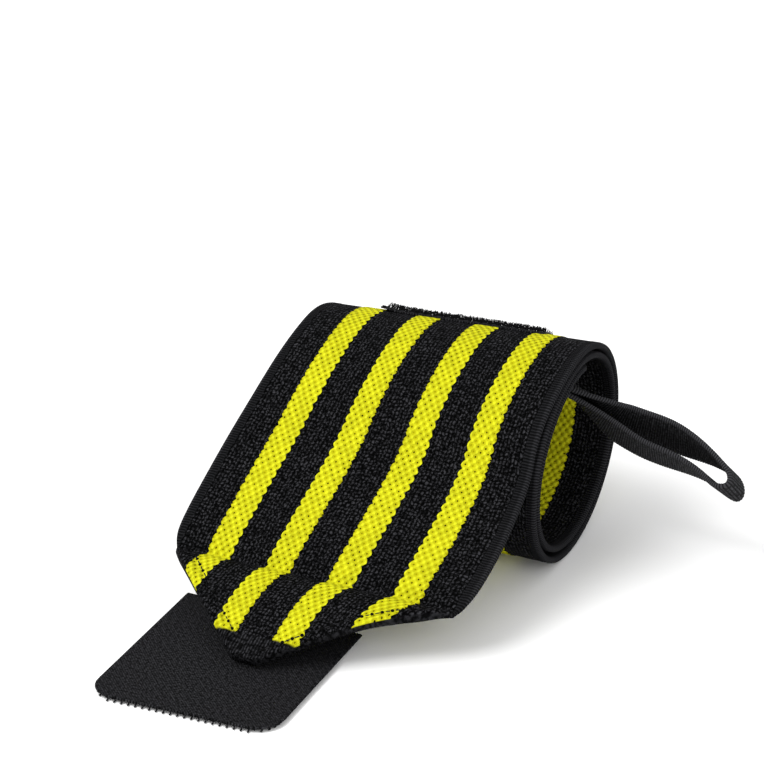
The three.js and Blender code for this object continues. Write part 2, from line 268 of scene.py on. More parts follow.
# %% The slope's edges and the taper's arch
SEAM = np.array([0.0, -SEAM_REACH, SEAM_HEIGHT])
TIP_HEIGHT = TAB_WALL + SEAT_GAP + STRIPE_RISE + BAND_WALL + HALF_WALL
TAPER_RUN = math.sqrt(TAPER_LENGTH ** 2 - (SEAM_HEIGHT - TIP_HEIGHT) ** 2) * 0.97
TIP = np.array([0.0, -SEAM_REACH - TAPER_RUN, TIP_HEIGHT])


def slope_edge(edge, shares):
    """Points and travel of one edge of the slope at shares of its length, and that length."""
    hug_end = LEAVE + math.radians(edge["hug"])
    leave = winding_point(hug_end)
    run = bezier(
        leave,
        leave + winding_travel(np.array(hug_end)) * edge["leave_pull"],
        SEAM - falling(edge["seam_fall"]) * edge["seam_pull"],
        SEAM,
        120,
    )
    hugged = winding_point(np.linspace(LEAVE, hug_end, 60)[:-1]) if edge["hug"] else run[:0]
    path = np.concatenate([hugged, run])
    lengths = arc_lengths(path)
    points = sample(path, lengths, shares * lengths[-1])
    travel = unit(sample(np.gradient(path, lengths, axis=0), lengths, shares * lengths[-1]))
    return points, travel, lengths[-1]


def swing(y):
    return -SWING_SHIFT * smoothstep(-y, 0, SWING_REACH)


def taper_half(beyond_seam):
    narrowing = (HALF_BAND - TIP_WIDTH / 2) / TAPER_LENGTH
    corner = CORNER_SOFTNESS * np.log1p(np.exp(beyond_seam / CORNER_SOFTNESS))
    return HALF_BAND - narrowing * corner


def seam_relief(distance):
    return -SEAM_DEPTH * np.exp(-((distance / SEAM_HALF) ** 2))


# %% The rows of the band
ROLL_ROWS = 210
SLOPE_ROWS = 62
TAPER_ROWS = 80


def roll_rows():
    angle = np.linspace(INNER_END, LEAVE, ROLL_ROWS, endpoint=False)
    count = len(angle)
    return {
        "middle": winding_point(angle),
        "across": cone_across(angle),
        "out": out_of(winding_travel(angle)),
        "twist": np.zeros((count, 3)),
        "half": np.full(count, HALF_BAND),
        "fold": np.zeros(count),
        "flare": np.zeros(count),
    }


def slope_rows():
    share = np.sin(np.linspace(0, math.pi / 2, SLOPE_ROWS))
    left, left_travel, left_length = slope_edge(LEFT_EDGE, share)
    right, right_travel, _ = slope_edge(RIGHT_EDGE, share)
    lean = cone_across(LEAVE) * HALF_BAND * (1 - share)[:, None]
    left, right = left - lean, right + lean
    left[:, 0] = swing(left[:, 1]) - HALF_BAND
    right[:, 0] = swing(right[:, 1]) + HALF_BAND
    left_out, right_out = out_of(left_travel), out_of(right_travel)
    out = (left_out + right_out) / 2
    beyond = (share - 1) * left_length
    return {
        "middle": (left + right) / 2 + out * seam_relief(beyond)[:, None],
        "across": (right - left) / BAND_WIDTH,
        "out": out,
        "twist": (right_out - left_out) / BAND_WIDTH,
        "half": taper_half(beyond),
        "fold": np.zeros(SLOPE_ROWS),
        "flare": SELVAGE_FLARE * smoothstep(share, FLARE_FROM, 1),
    }


def taper_rows():
    share = np.linspace(0, 1, TAPER_ROWS + 1)[1:]
    arch = bezier(
        SEAM,
        SEAM + falling(-TAPER_RISE) * TAPER_LENGTH / 3,
        TIP - falling(TAPER_FALL) * TAPER_LENGTH / 3,
        TIP,
        120,
    )
    lengths = arc_lengths(arch)
    middle = sample(arch, lengths, share * lengths[-1])
    travel = unit(sample(np.gradient(arch, lengths, axis=0), lengths, share * lengths[-1]))
    middle[:, 0] = swing(middle[:, 1])
    out = out_of(travel)
    beyond = share * TAPER_LENGTH
    return {
        "middle": middle + out * seam_relief(beyond)[:, None],
        "across": np.tile([1.0, 0.0, 0.0], (TAPER_ROWS, 1)),
        "out": out,
        "twist": np.zeros((TAPER_ROWS, 3)),
        "half": taper_half(beyond),
        "fold": BAND_WALL * smoothstep(share, 0, 0.2),
        "flare": SELVAGE_FLARE * (1 - smoothstep(share, 0, 0.5)),
    }


parts = [roll_rows(), slope_rows(), taper_rows()]
band = {key: np.concatenate([part[key] for part in parts]) for key in parts[0]}
band["along"] = arc_lengths(band["middle"])
SEAM_ALONG = band["along"][ROLL_ROWS + SLOPE_ROWS - 1]
BAND_LENGTH = band["along"][-1]
print("the band is", round(float(BAND_LENGTH)), "mm long, its seam at", round(float(SEAM_ALONG)))

# %% Columns across the band
# The columns stand close together on the selvages, where the ribs are fine, and at each stripe's
# shoulders.
def band_columns():
    rim = HALF_BAND - HALF_WALL * (1 - np.sin(np.linspace(0, math.pi / 2, 6)))
    ribs = np.arange(HALF_BAND - SELVAGE_WIDTH, rim[0], SELVAGE_RIB / 4)
    stripes = []
    for middle in (STRIPE_PITCH / 2, 1.5 * STRIPE_PITCH):
        for edge in (-STRIPE_WIDTH / 2 - STRIPE_SHOULDER, STRIPE_WIDTH / 2):
            stripes.append(middle + edge + np.linspace(0, STRIPE_SHOULDER, 4))
    plain = np.arange(1.0, HALF_BAND - SELVAGE_WIDTH - SELVAGE_BLEND, 1.0)
    right = np.concatenate([plain, *stripes, ribs, rim])
    right = np.unique(right.round(2))
    right = right[np.concatenate([[True], np.diff(right) > 0.06])]
    return np.concatenate([-right[::-1], [0.0], right])


COLUMNS = band_columns()
SELVAGE_RIB_RISE = 0.14
SELVAGE_RIB_SINK = 0.06
print("each ring of the band has", 2 * len(COLUMNS) - 2, "points")


def stripe_share(across):
    """1 on a stripe, 0 beside it."""
    off = np.abs(np.abs(np.abs(across) - STRIPE_PITCH) - STRIPE_PITCH / 2)
    return 1 - smoothstep(off, STRIPE_WIDTH / 2, STRIPE_WIDTH / 2 + STRIPE_SHOULDER)


def band_face(across, half, fold, side):
    """Height of one face of the cloth above its middle layer. side is 1 above and -1 below."""
    over, under = HALF_WALL, HALF_WALL + fold
    thick = (over + under) / 2
    rim = np.clip((np.abs(across) - (half - thick)) / thick, 0, 1)
    profile = np.sqrt(1 - rim * rim)
    inside = half - np.abs(across)
    rib = np.abs(np.sin(math.pi * inside / SELVAGE_RIB)) * SELVAGE_RIB_RISE - SELVAGE_RIB_SINK
    rib = rib * (1 - smoothstep(inside, SELVAGE_WIDTH - SELVAGE_BLEND, SELVAGE_WIDTH))
    ridge = STRIPE_RISE * stripe_share(across) * smoothstep(inside, 0.5, 2.5)
    return (over - under) / 2 + side * profile * (thick + ridge + rib)


def band_point(row, across, height):
    """Points at places across the cloth and heights out of it, for one or many rows."""
    share = (across + HALF_BAND) / BAND_WIDTH
    x = (across + row["flare"] * share ** 3)[..., None]
    out = unit(row["out"] + row["twist"] * x)
    return row["middle"] + row["across"] * x + out * height[..., None]


# %% The band's mesh
# Cloth that has been worn and rolled is never quite even: a slow ripple, largest at the selvages,
# moves it by a tenth of a millimetre or two.
RIPPLE = 0.06


def ripple(across, along):
    edge = (np.abs(across) / HALF_BAND) ** 4
    slow = np.sin(along / 7.3 + across / 19) + 0.6 * np.sin(along / 3.9 - across / 11 + 1.3)
    return RIPPLE * (0.3 + edge) * slow


# The hem of the taper is sewn down along both slanting edges. The thread pulls a groove into the
# cloth; it lies nearer to the right edge, which rolls under.
HEM_INSET = {-1: 4.9, 1: 3.1}
HEM_SLANT = TAPER_LENGTH / math.hypot(TAPER_LENGTH, HALF_BAND - TIP_WIDTH / 2)
HEM_FROM = 3.0
HEM_ENDS_BEFORE_TIP = 3.5
GROOVE_HALF = 0.55
GROOVE_DEPTH = 0.3


def sewn_share(across, along, half):
    """1 on the hem's stitch lines, 0 away from them."""
    inset = np.where(across < 0, HEM_INSET[-1], HEM_INSET[1])
    distance = (half - np.abs(across) - inset) * HEM_SLANT
    begun = smoothstep(along - SEAM_ALONG, HEM_FROM - 2, HEM_FROM)
    return begun * np.exp(-((distance / GROOVE_HALF) ** 2))


def band_mesh():
    half, fold, along = (band[key][:, None] for key in ("half", "fold", "along"))
    across = COLUMNS[None] * half / HALF_BAND
    lower = band_face(across, half, fold, -1) + ripple(across, along)
    upper = band_face(across, half, fold, 1) + ripple(across, along)
    sewn = sewn_share(across, along, half)
    upper = upper - GROOVE_DEPTH * sewn
    places = np.concatenate([across, across[:, -2:0:-1]], 1)
    heights = np.concatenate([lower, upper[:, -2:0:-1]], 1)
    row = {key: band[key][:, None] for key in ("middle", "across", "out", "twist", "flare")}
    points = band_point(row, places, heights)
    thick = HALF_WALL + fold / 2
    rim = np.clip((np.abs(places) - (half - thick)) / thick, 0, 1)
    below = np.arange(places.shape[1])[None] < len(COLUMNS)
    side = np.where(below, -1, 1) * np.sqrt(1 - rim * rim)
    cloth = np.stack([places, np.broadcast_to(along, places.shape), side], -1)
    return points, cloth, np.concatenate([0 * sewn, sewn[:, -2:0:-1]], 1)


band_points, band_cloth, band_sewn = band_mesh()
elastic_band = cloth_piece(
    "rolled_band", band_points, closed_faces(len(band["along"]), len(COLUMNS)), band_cloth
)
sewn_places = elastic_band.data.attributes.new("sewn", "FLOAT", "POINT")
sewn_places.data.foreach_set("value", band_sewn.astype(np.float32).ravel())

# %% [markdown]
# ## The woven cloth's finish
# The band is polyester yarn woven over rubber threads. Black yarn makes the ground, a close weave of
# small beads. The yellow stripes are worked in with thicker yarn: plump loops in staggered columns,
# with a dark needle-sized gap at each corner and an edge that bulges at every loop. The shade between
# the beads, round the loops and in the gaps is painted into the colour.
# The pattern reads the cloth's own millimetres from the attribute, so it bends with the band.

# %% Yarn sizes and colours
KNIT_ACROSS = 1.0
KNIT_ALONG = 2.65
KNIT_BULGE = 0.62
BEAD_ACROSS = 1.0
BEAD_ALONG = 2.2
BEAD_NUDGE = 0.8
PICK_PITCH = 0.75
TIP_RIB_PITCH = 0.8
TIP_RIBS = 6.8
# Width of the painted highlight along the selvage's very edge.
EDGE_HIGHLIGHT = 1.4
YARN_YELLOW = "#cacb20"
# The darker yellow is painted shade, where each knit loop curves down towards its neighbours.
YARN_SHADE = "#aea80c"
# The gaps between the loops are painted near-black as shade.
YARN_GAP_SHADE = "#1c1c04"
YARN_BLACK = "#202022"
# Near-black painted shade in the hollows between beads and between ribs.
YARN_RECESS_SHADE = "#010101"
STRIPE_SOFT_FROM = 0.3
STRIPE_SOFT_TO = 0.38
THREAD_BUMP = 0.36
SEWN_DENT = 0.8

# Noises read the cloth's millimetres, so their scales say how many waves lie in one millimetre.
CLOTH_WAVER = 0.5
WAVER_PER_MM = 0.45
TENSION_PER_MM = 0.6
NUDGE_PER_MM = 0.9
FLECKS_PER_MM = 1.2
DYE_PER_MM = 0.35

# Two settings are asked for often: a range that blends smoothly, and a mix of colours. A Map Range
# takes its value as input 0, the range it comes from as 1 and 2, and the range it goes to as 3 and 4.
# A Mix takes the share as input 0, then two values as 2 and 3, or two colours as 6 and 7.
SMOOTH = {"interpolation_type": "SMOOTHSTEP"}
COLOURS = {"data_type": "RGBA"}


# %% Staggered cells
def staggered(tree, across, along, width, length):
    """Waves of a staggered lattice: 1 at every other crossing of the yarns, -1 at the rest."""
    waves = []
    for place, pitch in ((across, width), (along, length / 2)):
        beat = add(tree, "ShaderNodeMath", {0: place, 1: math.pi / pitch}, operation="MULTIPLY")
        waves.append(add(tree, "ShaderNodeMath", {0: beat.outputs[0]}, operation="COSINE").outputs[0])
    return add(tree, "ShaderNodeMath", {0: waves[0], 1: waves[1]}, operation="MULTIPLY").outputs[0]


# %% Places in the cloth, a little uneven
def cloth_places(tree, unevenness):
    """Across, along and side of the cloth in millimetres, wavering as yarn in worn cloth does."""
    cloth = add(tree, "ShaderNodeAttribute", attribute_name="cloth").outputs["Vector"]
    noise = add(tree, "ShaderNodeTexNoise", {"Vector": cloth, "Scale": WAVER_PER_MM, "Detail": 1.0})
    centred = add(tree, "ShaderNodeVectorMath", {
        0: noise.outputs["Color"], 1: (-0.5, -0.5, -0.5),
    }, operation="ADD")
    moved = add(tree, "ShaderNodeVectorMath", {
        0: centred.outputs[0], 1: (unevenness, unevenness, 0.0), 2: cloth,
    }, operation="MULTIPLY_ADD")
    split = add(tree, "ShaderNodeSeparateXYZ", {0: moved.outputs[0]})
    return cloth, split.outputs["X"], split.outputs["Y"], split.outputs["Z"]


# %% The mask of the yellow stripes
def stripe_mask(tree, across, along, side, tapered):
    """1 on the four yellow stripes, whose edges bulge out at every loop of the knit."""
    outward = add(tree, "ShaderNodeMath", {0: across}, operation="ABSOLUTE").outputs[0]
    for middle in (STRIPE_PITCH, STRIPE_PITCH / 2):
        off = add(tree, "ShaderNodeMath", {0: outward, 1: middle}, operation="SUBTRACT")
        outward = add(tree, "ShaderNodeMath", {0: off.outputs[0]}, operation="ABSOLUTE").outputs[0]
    beat = add(tree, "ShaderNodeMath", {0: along, 1: math.pi / KNIT_ALONG}, operation="MULTIPLY")
    bulge = add(tree, "ShaderNodeMath", {0: beat.outputs[0]}, operation="SINE")
    bulge = add(tree, "ShaderNodeMath", {0: bulge.outputs[0]}, operation="ABSOLUTE")
    edge = add(tree, "ShaderNodeMath", {
        0: bulge.outputs[0], 1: -KNIT_BULGE, 2: outward,
    }, operation="MULTIPLY_ADD")
    stripe = add(tree, "ShaderNodeMapRange", {
        0: edge.outputs[0], 1: STRIPE_WIDTH / 2 - STRIPE_SOFT_FROM, 2: STRIPE_WIDTH / 2 - STRIPE_SOFT_TO,
    }, **SMOOTH).outputs[0]

    # On the taper the yellow shows on the upper face alone: the hem under it is black.
    upper = add(tree, "ShaderNodeMapRange", {0: side, 1: 0.45, 2: 0.6}, **SMOOTH).outputs[0]
    shown = add(tree, "ShaderNodeMix", {0: tapered, 2: 1.0, 3: upper}).outputs[0]
    return add(tree, "ShaderNodeMath", {0: stripe, 1: shown}, operation="MULTIPLY").outputs[0]


# %% The yellow knit and the black ground
def yellow_knit(tree, cloth, across, along):
    """Colour and height of the stripes: a nearly even face, with painted shade in the gap where four
    loops meet.
    """
    crossing = staggered(tree, across, along, KNIT_ACROSS, KNIT_ALONG)
    tension = add(tree, "ShaderNodeTexNoise", {"Vector": cloth, "Scale": TENSION_PER_MM, "Detail": 1.0})
    # Where the loops lie tight, the gap nearly closes.
    slack = add(tree, "ShaderNodeMapRange", {
        0: tension.outputs[0], 1: 0.38, 2: 0.6, 3: 0.3, 4: 1.0,
    }, **SMOOTH).outputs[0]
    meeting = add(tree, "ShaderNodeMapRange", {0: crossing, 1: 0.76, 2: 0.95}, **SMOOTH).outputs[0]
    gap = add(tree, "ShaderNodeMath", {0: meeting, 1: slack}, operation="MULTIPLY").outputs[0]
    # The yellow darkens away from each loop's top: painted shade where the loop curves down.
    loop_top_lit = add(tree, "ShaderNodeMapRange", {0: crossing, 1: 0.92, 2: -0.75}, **SMOOTH).outputs[0]
    dome = add(tree, "ShaderNodeMapRange", {0: crossing, 1: 0.7, 2: -0.8}, **SMOOTH).outputs[0]
    yellow = add(tree, "ShaderNodeMix", {
        0: loop_top_lit, 6: linear(YARN_SHADE), 7: linear(YARN_YELLOW),
    }, **COLOURS).outputs[2]
    # The gap is sunk as a bump and also painted dark: painted shade in the hollow.
    yellow = add(tree, "ShaderNodeMix", {0: gap, 6: yellow, 7: linear(YARN_GAP_SHADE)}, **COLOURS).outputs[2]
    height = add(tree, "ShaderNodeMath", {0: dome, 1: gap}, operation="SUBTRACT").outputs[0]

    # The dye has taken a little unevenly.
    drift = add(tree, "ShaderNodeTexNoise", {"Vector": cloth, "Scale": DYE_PER_MM, "Detail": 3.0})
    taken = add(tree, "ShaderNodeMapRange", {
        0: drift.outputs[0], 1: 0.3, 2: 0.7, 3: 0.86, 4: 1.04,
    }, **SMOOTH).outputs[0]
    yellow = add(tree, "ShaderNodeVectorMath", {0: yellow, "Scale": taken}, operation="SCALE").outputs[0]
    return yellow, height


def black_beads(tree, cloth, across, along):
    """Small beads, where warp and weft take turns on top.

    Every warp end starts its beads at its own place, so no rows run across.
    """
    end = add(tree, "ShaderNodeMath", {0: across, 1: BEAD_ACROSS}, operation="DIVIDE")
    end = add(tree, "ShaderNodeMath", {0: end.outputs[0], 1: 0.5}, operation="ADD")
    end = add(tree, "ShaderNodeMath", {0: end.outputs[0]}, operation="FLOOR").outputs[0]
    start = add(tree, "ShaderNodeTexWhiteNoise", {"W": end}, noise_dimensions="1D").outputs["Value"]
    shifted = add(tree, "ShaderNodeMath", {0: start, 1: BEAD_ALONG, 2: along}, operation="MULTIPLY_ADD")
    noise = add(tree, "ShaderNodeTexNoise", {"Vector": cloth, "Scale": NUDGE_PER_MM, "Detail": 1.0})
    nudge = add(tree, "ShaderNodeSeparateXYZ", {0: noise.outputs["Color"]})
    bead_across = add(tree, "ShaderNodeMath", {
        0: nudge.outputs["X"], 1: BEAD_NUDGE, 2: across,
    }, operation="MULTIPLY_ADD")
    bead_along = add(tree, "ShaderNodeMath", {
        0: nudge.outputs["Y"], 1: 2 * BEAD_NUDGE, 2: shifted.outputs[0],
    }, operation="MULTIPLY_ADD")
    weave = staggered(tree, bead_across.outputs[0], bead_along.outputs[0], BEAD_ACROSS, BEAD_ALONG)
    bead = add(tree, "ShaderNodeMath", {0: weave}, operation="ABSOLUTE").outputs[0]
    return add(tree, "ShaderNodeMapRange", {0: bead, 1: 0.02, 2: 0.75}, **SMOOTH).outputs[0]


# %% The band's material
def woven_band():
    """Matte polyester yarn: bright soft stripes beside a ground that swallows the light."""
    material = bpy.data.materials.new("woven_polyester_elastic")
    material.use_nodes = True
    tree = material.node_tree
    cloth, across, along, side = cloth_places(tree, CLOTH_WAVER)
    tapered = add(tree, "ShaderNodeMapRange", {
        0: along, 1: float(SEAM_ALONG) + 1.0, 2: float(SEAM_ALONG) + 3.0,
    }, **SMOOTH).outputs[0]
    stripe = stripe_mask(tree, across, along, side, tapered)
    yellow, knit = yellow_knit(tree, cloth, across, along)
    bead = black_beads(tree, cloth, across, along)

    # The selvages and the tip are ribbed: the weft turns round one, and warp ends run off the other.
    outward = add(tree, "ShaderNodeMath", {0: across}, operation="ABSOLUTE").outputs[0]
    selvage = add(tree, "ShaderNodeMapRange", {
        0: outward, 1: HALF_BAND - SELVAGE_WIDTH, 2: HALF_BAND - SELVAGE_WIDTH + SELVAGE_BLEND,
    }, **SMOOTH).outputs[0]
    ribs = []
    for place, pitch in ((along, PICK_PITCH), (across, TIP_RIB_PITCH)):
        beat = add(tree, "ShaderNodeMath", {0: place, 1: 2 * math.pi / pitch}, operation="MULTIPLY")
        wave = add(tree, "ShaderNodeMath", {0: beat.outputs[0]}, operation="SINE")
        ribs.append(add(tree, "ShaderNodeMapRange", {
            0: wave.outputs[0], 1: -1.0, 2: 1.0, 3: 0.2, 4: 1.5,
        }, **SMOOTH).outputs[0])
    tip = add(tree, "ShaderNodeMapRange", {
        0: along, 1: float(BAND_LENGTH) - TIP_RIBS, 2: float(BAND_LENGTH) - TIP_RIBS + 0.8,
    }, **SMOOTH).outputs[0]
    ground = add(tree, "ShaderNodeMix", {0: selvage, 2: bead, 3: ribs[0]}).outputs[0]
    ground = add(tree, "ShaderNodeMix", {0: tip, 2: ground, 3: ribs[1]}).outputs[0]

    # Round the folded edges of the taper the weave is pulled flat.
    flat = add(tree, "ShaderNodeMath", {0: side}, operation="ABSOLUTE").outputs[0]
    hem = add(tree, "ShaderNodeMapRange", {0: flat, 1: 0.75, 2: 0.5}, **SMOOTH).outputs[0]
    hem = add(tree, "ShaderNodeMath", {0: hem, 1: tapered}, operation="MULTIPLY").outputs[0]
    ground = add(tree, "ShaderNodeMix", {0: hem, 2: ground, 3: 0.5}).outputs[0]
    # Between the beads and ribs the black falls to painted shade; their tops keep the yarn's own colour.
    black = add(tree, "ShaderNodeMix", {
        0: ground, 6: linear(YARN_RECESS_SHADE), 7: linear(YARN_BLACK),
    }, **COLOURS).outputs[2]

    # Each yarn catches a little more or less light than its neighbour, painted into its colour as
    # lighter and darker flecks. The turned selvage lies evenly, and its very edge carries a painted
    # highlight.
    fleck = add(tree, "ShaderNodeTexNoise", {"Vector": cloth, "Scale": FLECKS_PER_MM, "Detail": 2.0})
    lit = add(tree, "ShaderNodeMapRange", {
        0: fleck.outputs[0], 1: 0.36, 2: 0.68, 3: 0.2, 4: 2.4,
    }, **SMOOTH).outputs[0]
    edge_highlight = add(tree, "ShaderNodeMapRange", {
        0: outward, 1: HALF_BAND - EDGE_HIGHLIGHT, 2: HALF_BAND - EDGE_HIGHLIGHT / 2, 3: 1.0, 4: 2.0,
    }, **SMOOTH).outputs[0]
    lit = add(tree, "ShaderNodeMix", {0: selvage, 2: lit, 3: edge_highlight}).outputs[0]
    black = add(tree, "ShaderNodeVectorMath", {0: black, "Scale": lit}, operation="SCALE").outputs[0]

    # The tip carries no yellow at all.
    stripe = add(tree, "ShaderNodeMix", {0: tip, 2: stripe, 3: 0.0}).outputs[0]
    dyed = add(tree, "ShaderNodeMix", {0: stripe, 6: black, 7: yellow}, **COLOURS).outputs[2]

    sewn = add(tree, "ShaderNodeAttribute", attribute_name="sewn").outputs["Fac"]
    height = add(tree, "ShaderNodeMix", {0: stripe, 2: ground, 3: knit}).outputs[0]
    height = add(tree, "ShaderNodeMath", {0: sewn, 1: -SEWN_DENT, 2: height}, operation="MULTIPLY_ADD")
    bump = add(tree, "ShaderNodeBump", {
        "Height": height.outputs[0], "Distance": THREAD_BUMP * MM, "Strength": 1.0,
    })
    tree.links.new(dyed, tree.nodes["Principled BSDF"].inputs["Base Color"])
    finish_cloth(tree, bump, roughness=0.82)
    return material


BAND_CLOTH = woven_band()
elastic_band.data.materials.append(BAND_CLOTH)
print("knit loops are", KNIT_ALONG, "mm apart, beads of the ground", BEAD_ALONG / 2, "mm")

# %% [markdown]
# ## The thumb loop
# The loop is a narrow elastic tape, folded in two and sewn under the band's inner end. Its weft is
# thick, so ribs run across it. The ribs are real ridges here, because they show on its edge.

# %% Sizes of the thumb loop
# Names that end in FROM, AT or END are shares of the way from the sewn end to the tip. A roll and a
# fan are angles in degrees.
LOOP_WIDTH = 15.0
LOOP_WALL = 1.3
LOOP_NEAR_EDGE = math.radians(84)
LOOP_SEWN = 16.0
LOOP_REACH = 40.8
LOOP_DROOP = 23.2
LOOP_ROOT_PULL = 7.0
LOOP_TIP_PULL = 16.0
LOOP_TIP_FALL = math.radians(46)
LOOP_TIP_SWING = math.radians(34)
LOOP_END_SHIFT = 1.0
LOOP_ROLL = 30
LOOP_TIP_ROLL = 7
LOOP_TIP_ROLL_FROM = 0.6
LOOP_FAN = 7
LOOP_OPENING = 7.0
LOOP_TIP_OPENING = 5.4
LOOP_DIP = 6.0
LOOP_DIP_AT = 0.4
LOOP_DIP_END = 1.05
LOOP_BEND_FROM = 0.92
LOOP_PARTS_FROM = 0.12
LOOP_OPEN_AT = 0.6
LOOP_NARROWS_FROM = 0.5
LOOP_ROLL_FROM = 0.08
LOOP_ROLL_AT = 0.42
LOOP_FLAT_AT = 0.3
RIB_PITCH = 0.7
RIB_RISE = 0.13
RIB_LEVEL = 0.6
RIB_POINTS = 5
LOOP_RIM_BAND = 0.4

# %% The loop's strands
def loop_axis(root, angle, shares):
    start = root + cone_across(angle) * (HALF_BAND - LOOP_SEWN)
    end = np.array([HALF_BAND + LOOP_REACH, root[1] - LOOP_END_SHIFT, root[2] - LOOP_DROOP])
    fall, swing_aside = LOOP_TIP_FALL, LOOP_TIP_SWING
    arrive = unit(np.array([math.cos(fall), -math.tan(swing_aside), -math.sin(fall)]))
    pull = np.array([LOOP_ROOT_PULL, 0.0, 0.0])
    path = bezier(start, start + pull, end - arrive * LOOP_TIP_PULL, end, 200)
    lengths = arc_lengths(path)
    travel = unit(np.gradient(path, lengths, axis=0))
    wanted = shares * lengths[-1]
    return sample(path, lengths, wanted), unit(sample(travel, lengths, wanted))


def loop_outline(strand_rows=230, end_rows=60):
    """How far along the axis and how far aside the tape's middle is, all round the loop."""
    closed = (LOOP_WALL + SEAT_GAP) / 2
    along = np.linspace(0, LOOP_BEND_FROM, strand_rows)
    opened = closed + (LOOP_OPENING / 2 - closed) * smoothstep(along, LOOP_PARTS_FROM, LOOP_OPEN_AT)
    narrowed = smoothstep(along, LOOP_NARROWS_FROM, LOOP_BEND_FROM)
    aside = opened + (LOOP_TIP_OPENING / 2 - opened) * narrowed
    turn = np.linspace(0, math.pi, end_rows)[1:-1]
    end_along = LOOP_BEND_FROM + (1 - LOOP_BEND_FROM) * np.sin(turn)
    end_aside = LOOP_TIP_OPENING / 2 * np.cos(turn)
    return (
        np.concatenate([along, end_along, along[::-1]]),
        np.concatenate([aside, end_aside, -aside[::-1]]),
    )


def loop_rings():
    ceiling = winding_radius(INNER_END) - HALF_RIDGE - SEAT_GAP
    angle = LOOP_NEAR_EDGE - LOOP_WIDTH / 2 / ceiling
    root_radius = ceiling - LOOP_WALL - SEAT_GAP / 2
    root = np.array([0.0, math.cos(angle), math.sin(angle)]) * root_radius
    root[2] += ROLL_MIDDLE
    along, aside = loop_outline()
    middle, forward = loop_axis(root, angle, along)
    width = np.array([0.0, math.sin(angle), -math.cos(angle)])
    width = unit(width - forward * (forward @ width)[:, None])
    tipward = smoothstep(along, LOOP_TIP_ROLL_FROM, 1)
    fanned = LOOP_ROLL + LOOP_FAN * aside / (LOOP_OPENING / 2)
    rolled = fanned + (LOOP_TIP_ROLL - fanned) * tipward
    turn = np.radians(rolled * smoothstep(along, LOOP_ROLL_FROM, LOOP_ROLL_AT))[:, None]
    width = width * np.cos(turn) - np.cross(forward, width) * np.sin(turn)
    middle = middle + np.cross(forward, width) * aside[:, None]
    sunk = smoothstep(along, 0, LOOP_DIP_AT) * (1 - smoothstep(along, LOOP_DIP_AT, LOOP_DIP_END))
    middle[:, 2] -= LOOP_DIP * sunk
    travel = unit(np.gradient(middle, axis=0))
    across = unit(width - travel * np.sum(width * travel, 1)[:, None])
    out = np.cross(travel, across)
    # The sewn end is curved as the roll is; further out the tape is all but flat, as in the frame.
    upper = np.where(np.arange(len(along)) < len(along) / 2, 1.0, -1.0)
    camber = upper * (1.001 - smoothstep(along, LOOP_ROLL_FROM, LOOP_FLAT_AT)) / (2 * root_radius)
    return middle, across, out, camber


# %% The loop's mesh
def loop_mesh():
    middle, across, out, camber = loop_rings()
    lengths = arc_lengths(middle)
    rows = int(lengths[-1] / RIB_PITCH * RIB_POINTS)
    places = np.linspace(0, lengths[-1], rows)
    middle, across, out = (sample(part, lengths, places) for part in (middle, across, out))
    camber = sample(camber, lengths, places)
    rim = LOOP_WIDTH / 2 - LOOP_WALL / 2 * (1 - np.sin(np.linspace(0, math.pi / 2, 4)))
    inner = np.linspace(0, rim[0], 5)[1:-1]
    right = np.concatenate([inner, rim])
    columns = np.concatenate([-right[::-1], [0.0], right])[None]
    past = np.clip((np.abs(columns) - (LOOP_WIDTH - LOOP_WALL) / 2) / (LOOP_WALL / 2), 0, 1)
    rib = RIB_RISE * (np.abs(np.sin(math.pi * places / RIB_PITCH))[:, None] - RIB_LEVEL)
    height = (LOOP_WALL / 2 + rib) * np.sqrt(1 - past * past)
    sink = -columns ** 2 * camber
    columns = np.broadcast_to(columns, height.shape)
    x = np.concatenate([columns, columns[:, -2:0:-1]], 1)
    y = np.concatenate([sink - height, (sink + height)[:, -2:0:-1]], 1)
    x = x + np.sign(x) * (np.abs(x) > LOOP_WIDTH / 2 - LOOP_RIM_BAND) * rib
    points = middle[:, None] + across[:, None] * x[..., None] + out[:, None] * y[..., None]
    cloth = np.stack([x, np.broadcast_to(places[:, None], x.shape), 0 * x], -1)
    return points, closed_faces(rows, columns.shape[1]), cloth, lengths[-1]


loop_points, loop_faces, loop_cloth, LOOP_LENGTH = loop_mesh()
thumb_loop = cloth_piece("ribbed_thumb_loop", loop_points, loop_faces, loop_cloth)

# %% The loop's material
RIB_BLACK = "#2a2a2c"
WARP_PITCH = 0.7
WARP_RISE = 0.12
# Strength of the painted highlight on the loop's two edges.
LOOP_EDGE_HIGHLIGHT = 1.9
LOOP_BUMP = 0.15


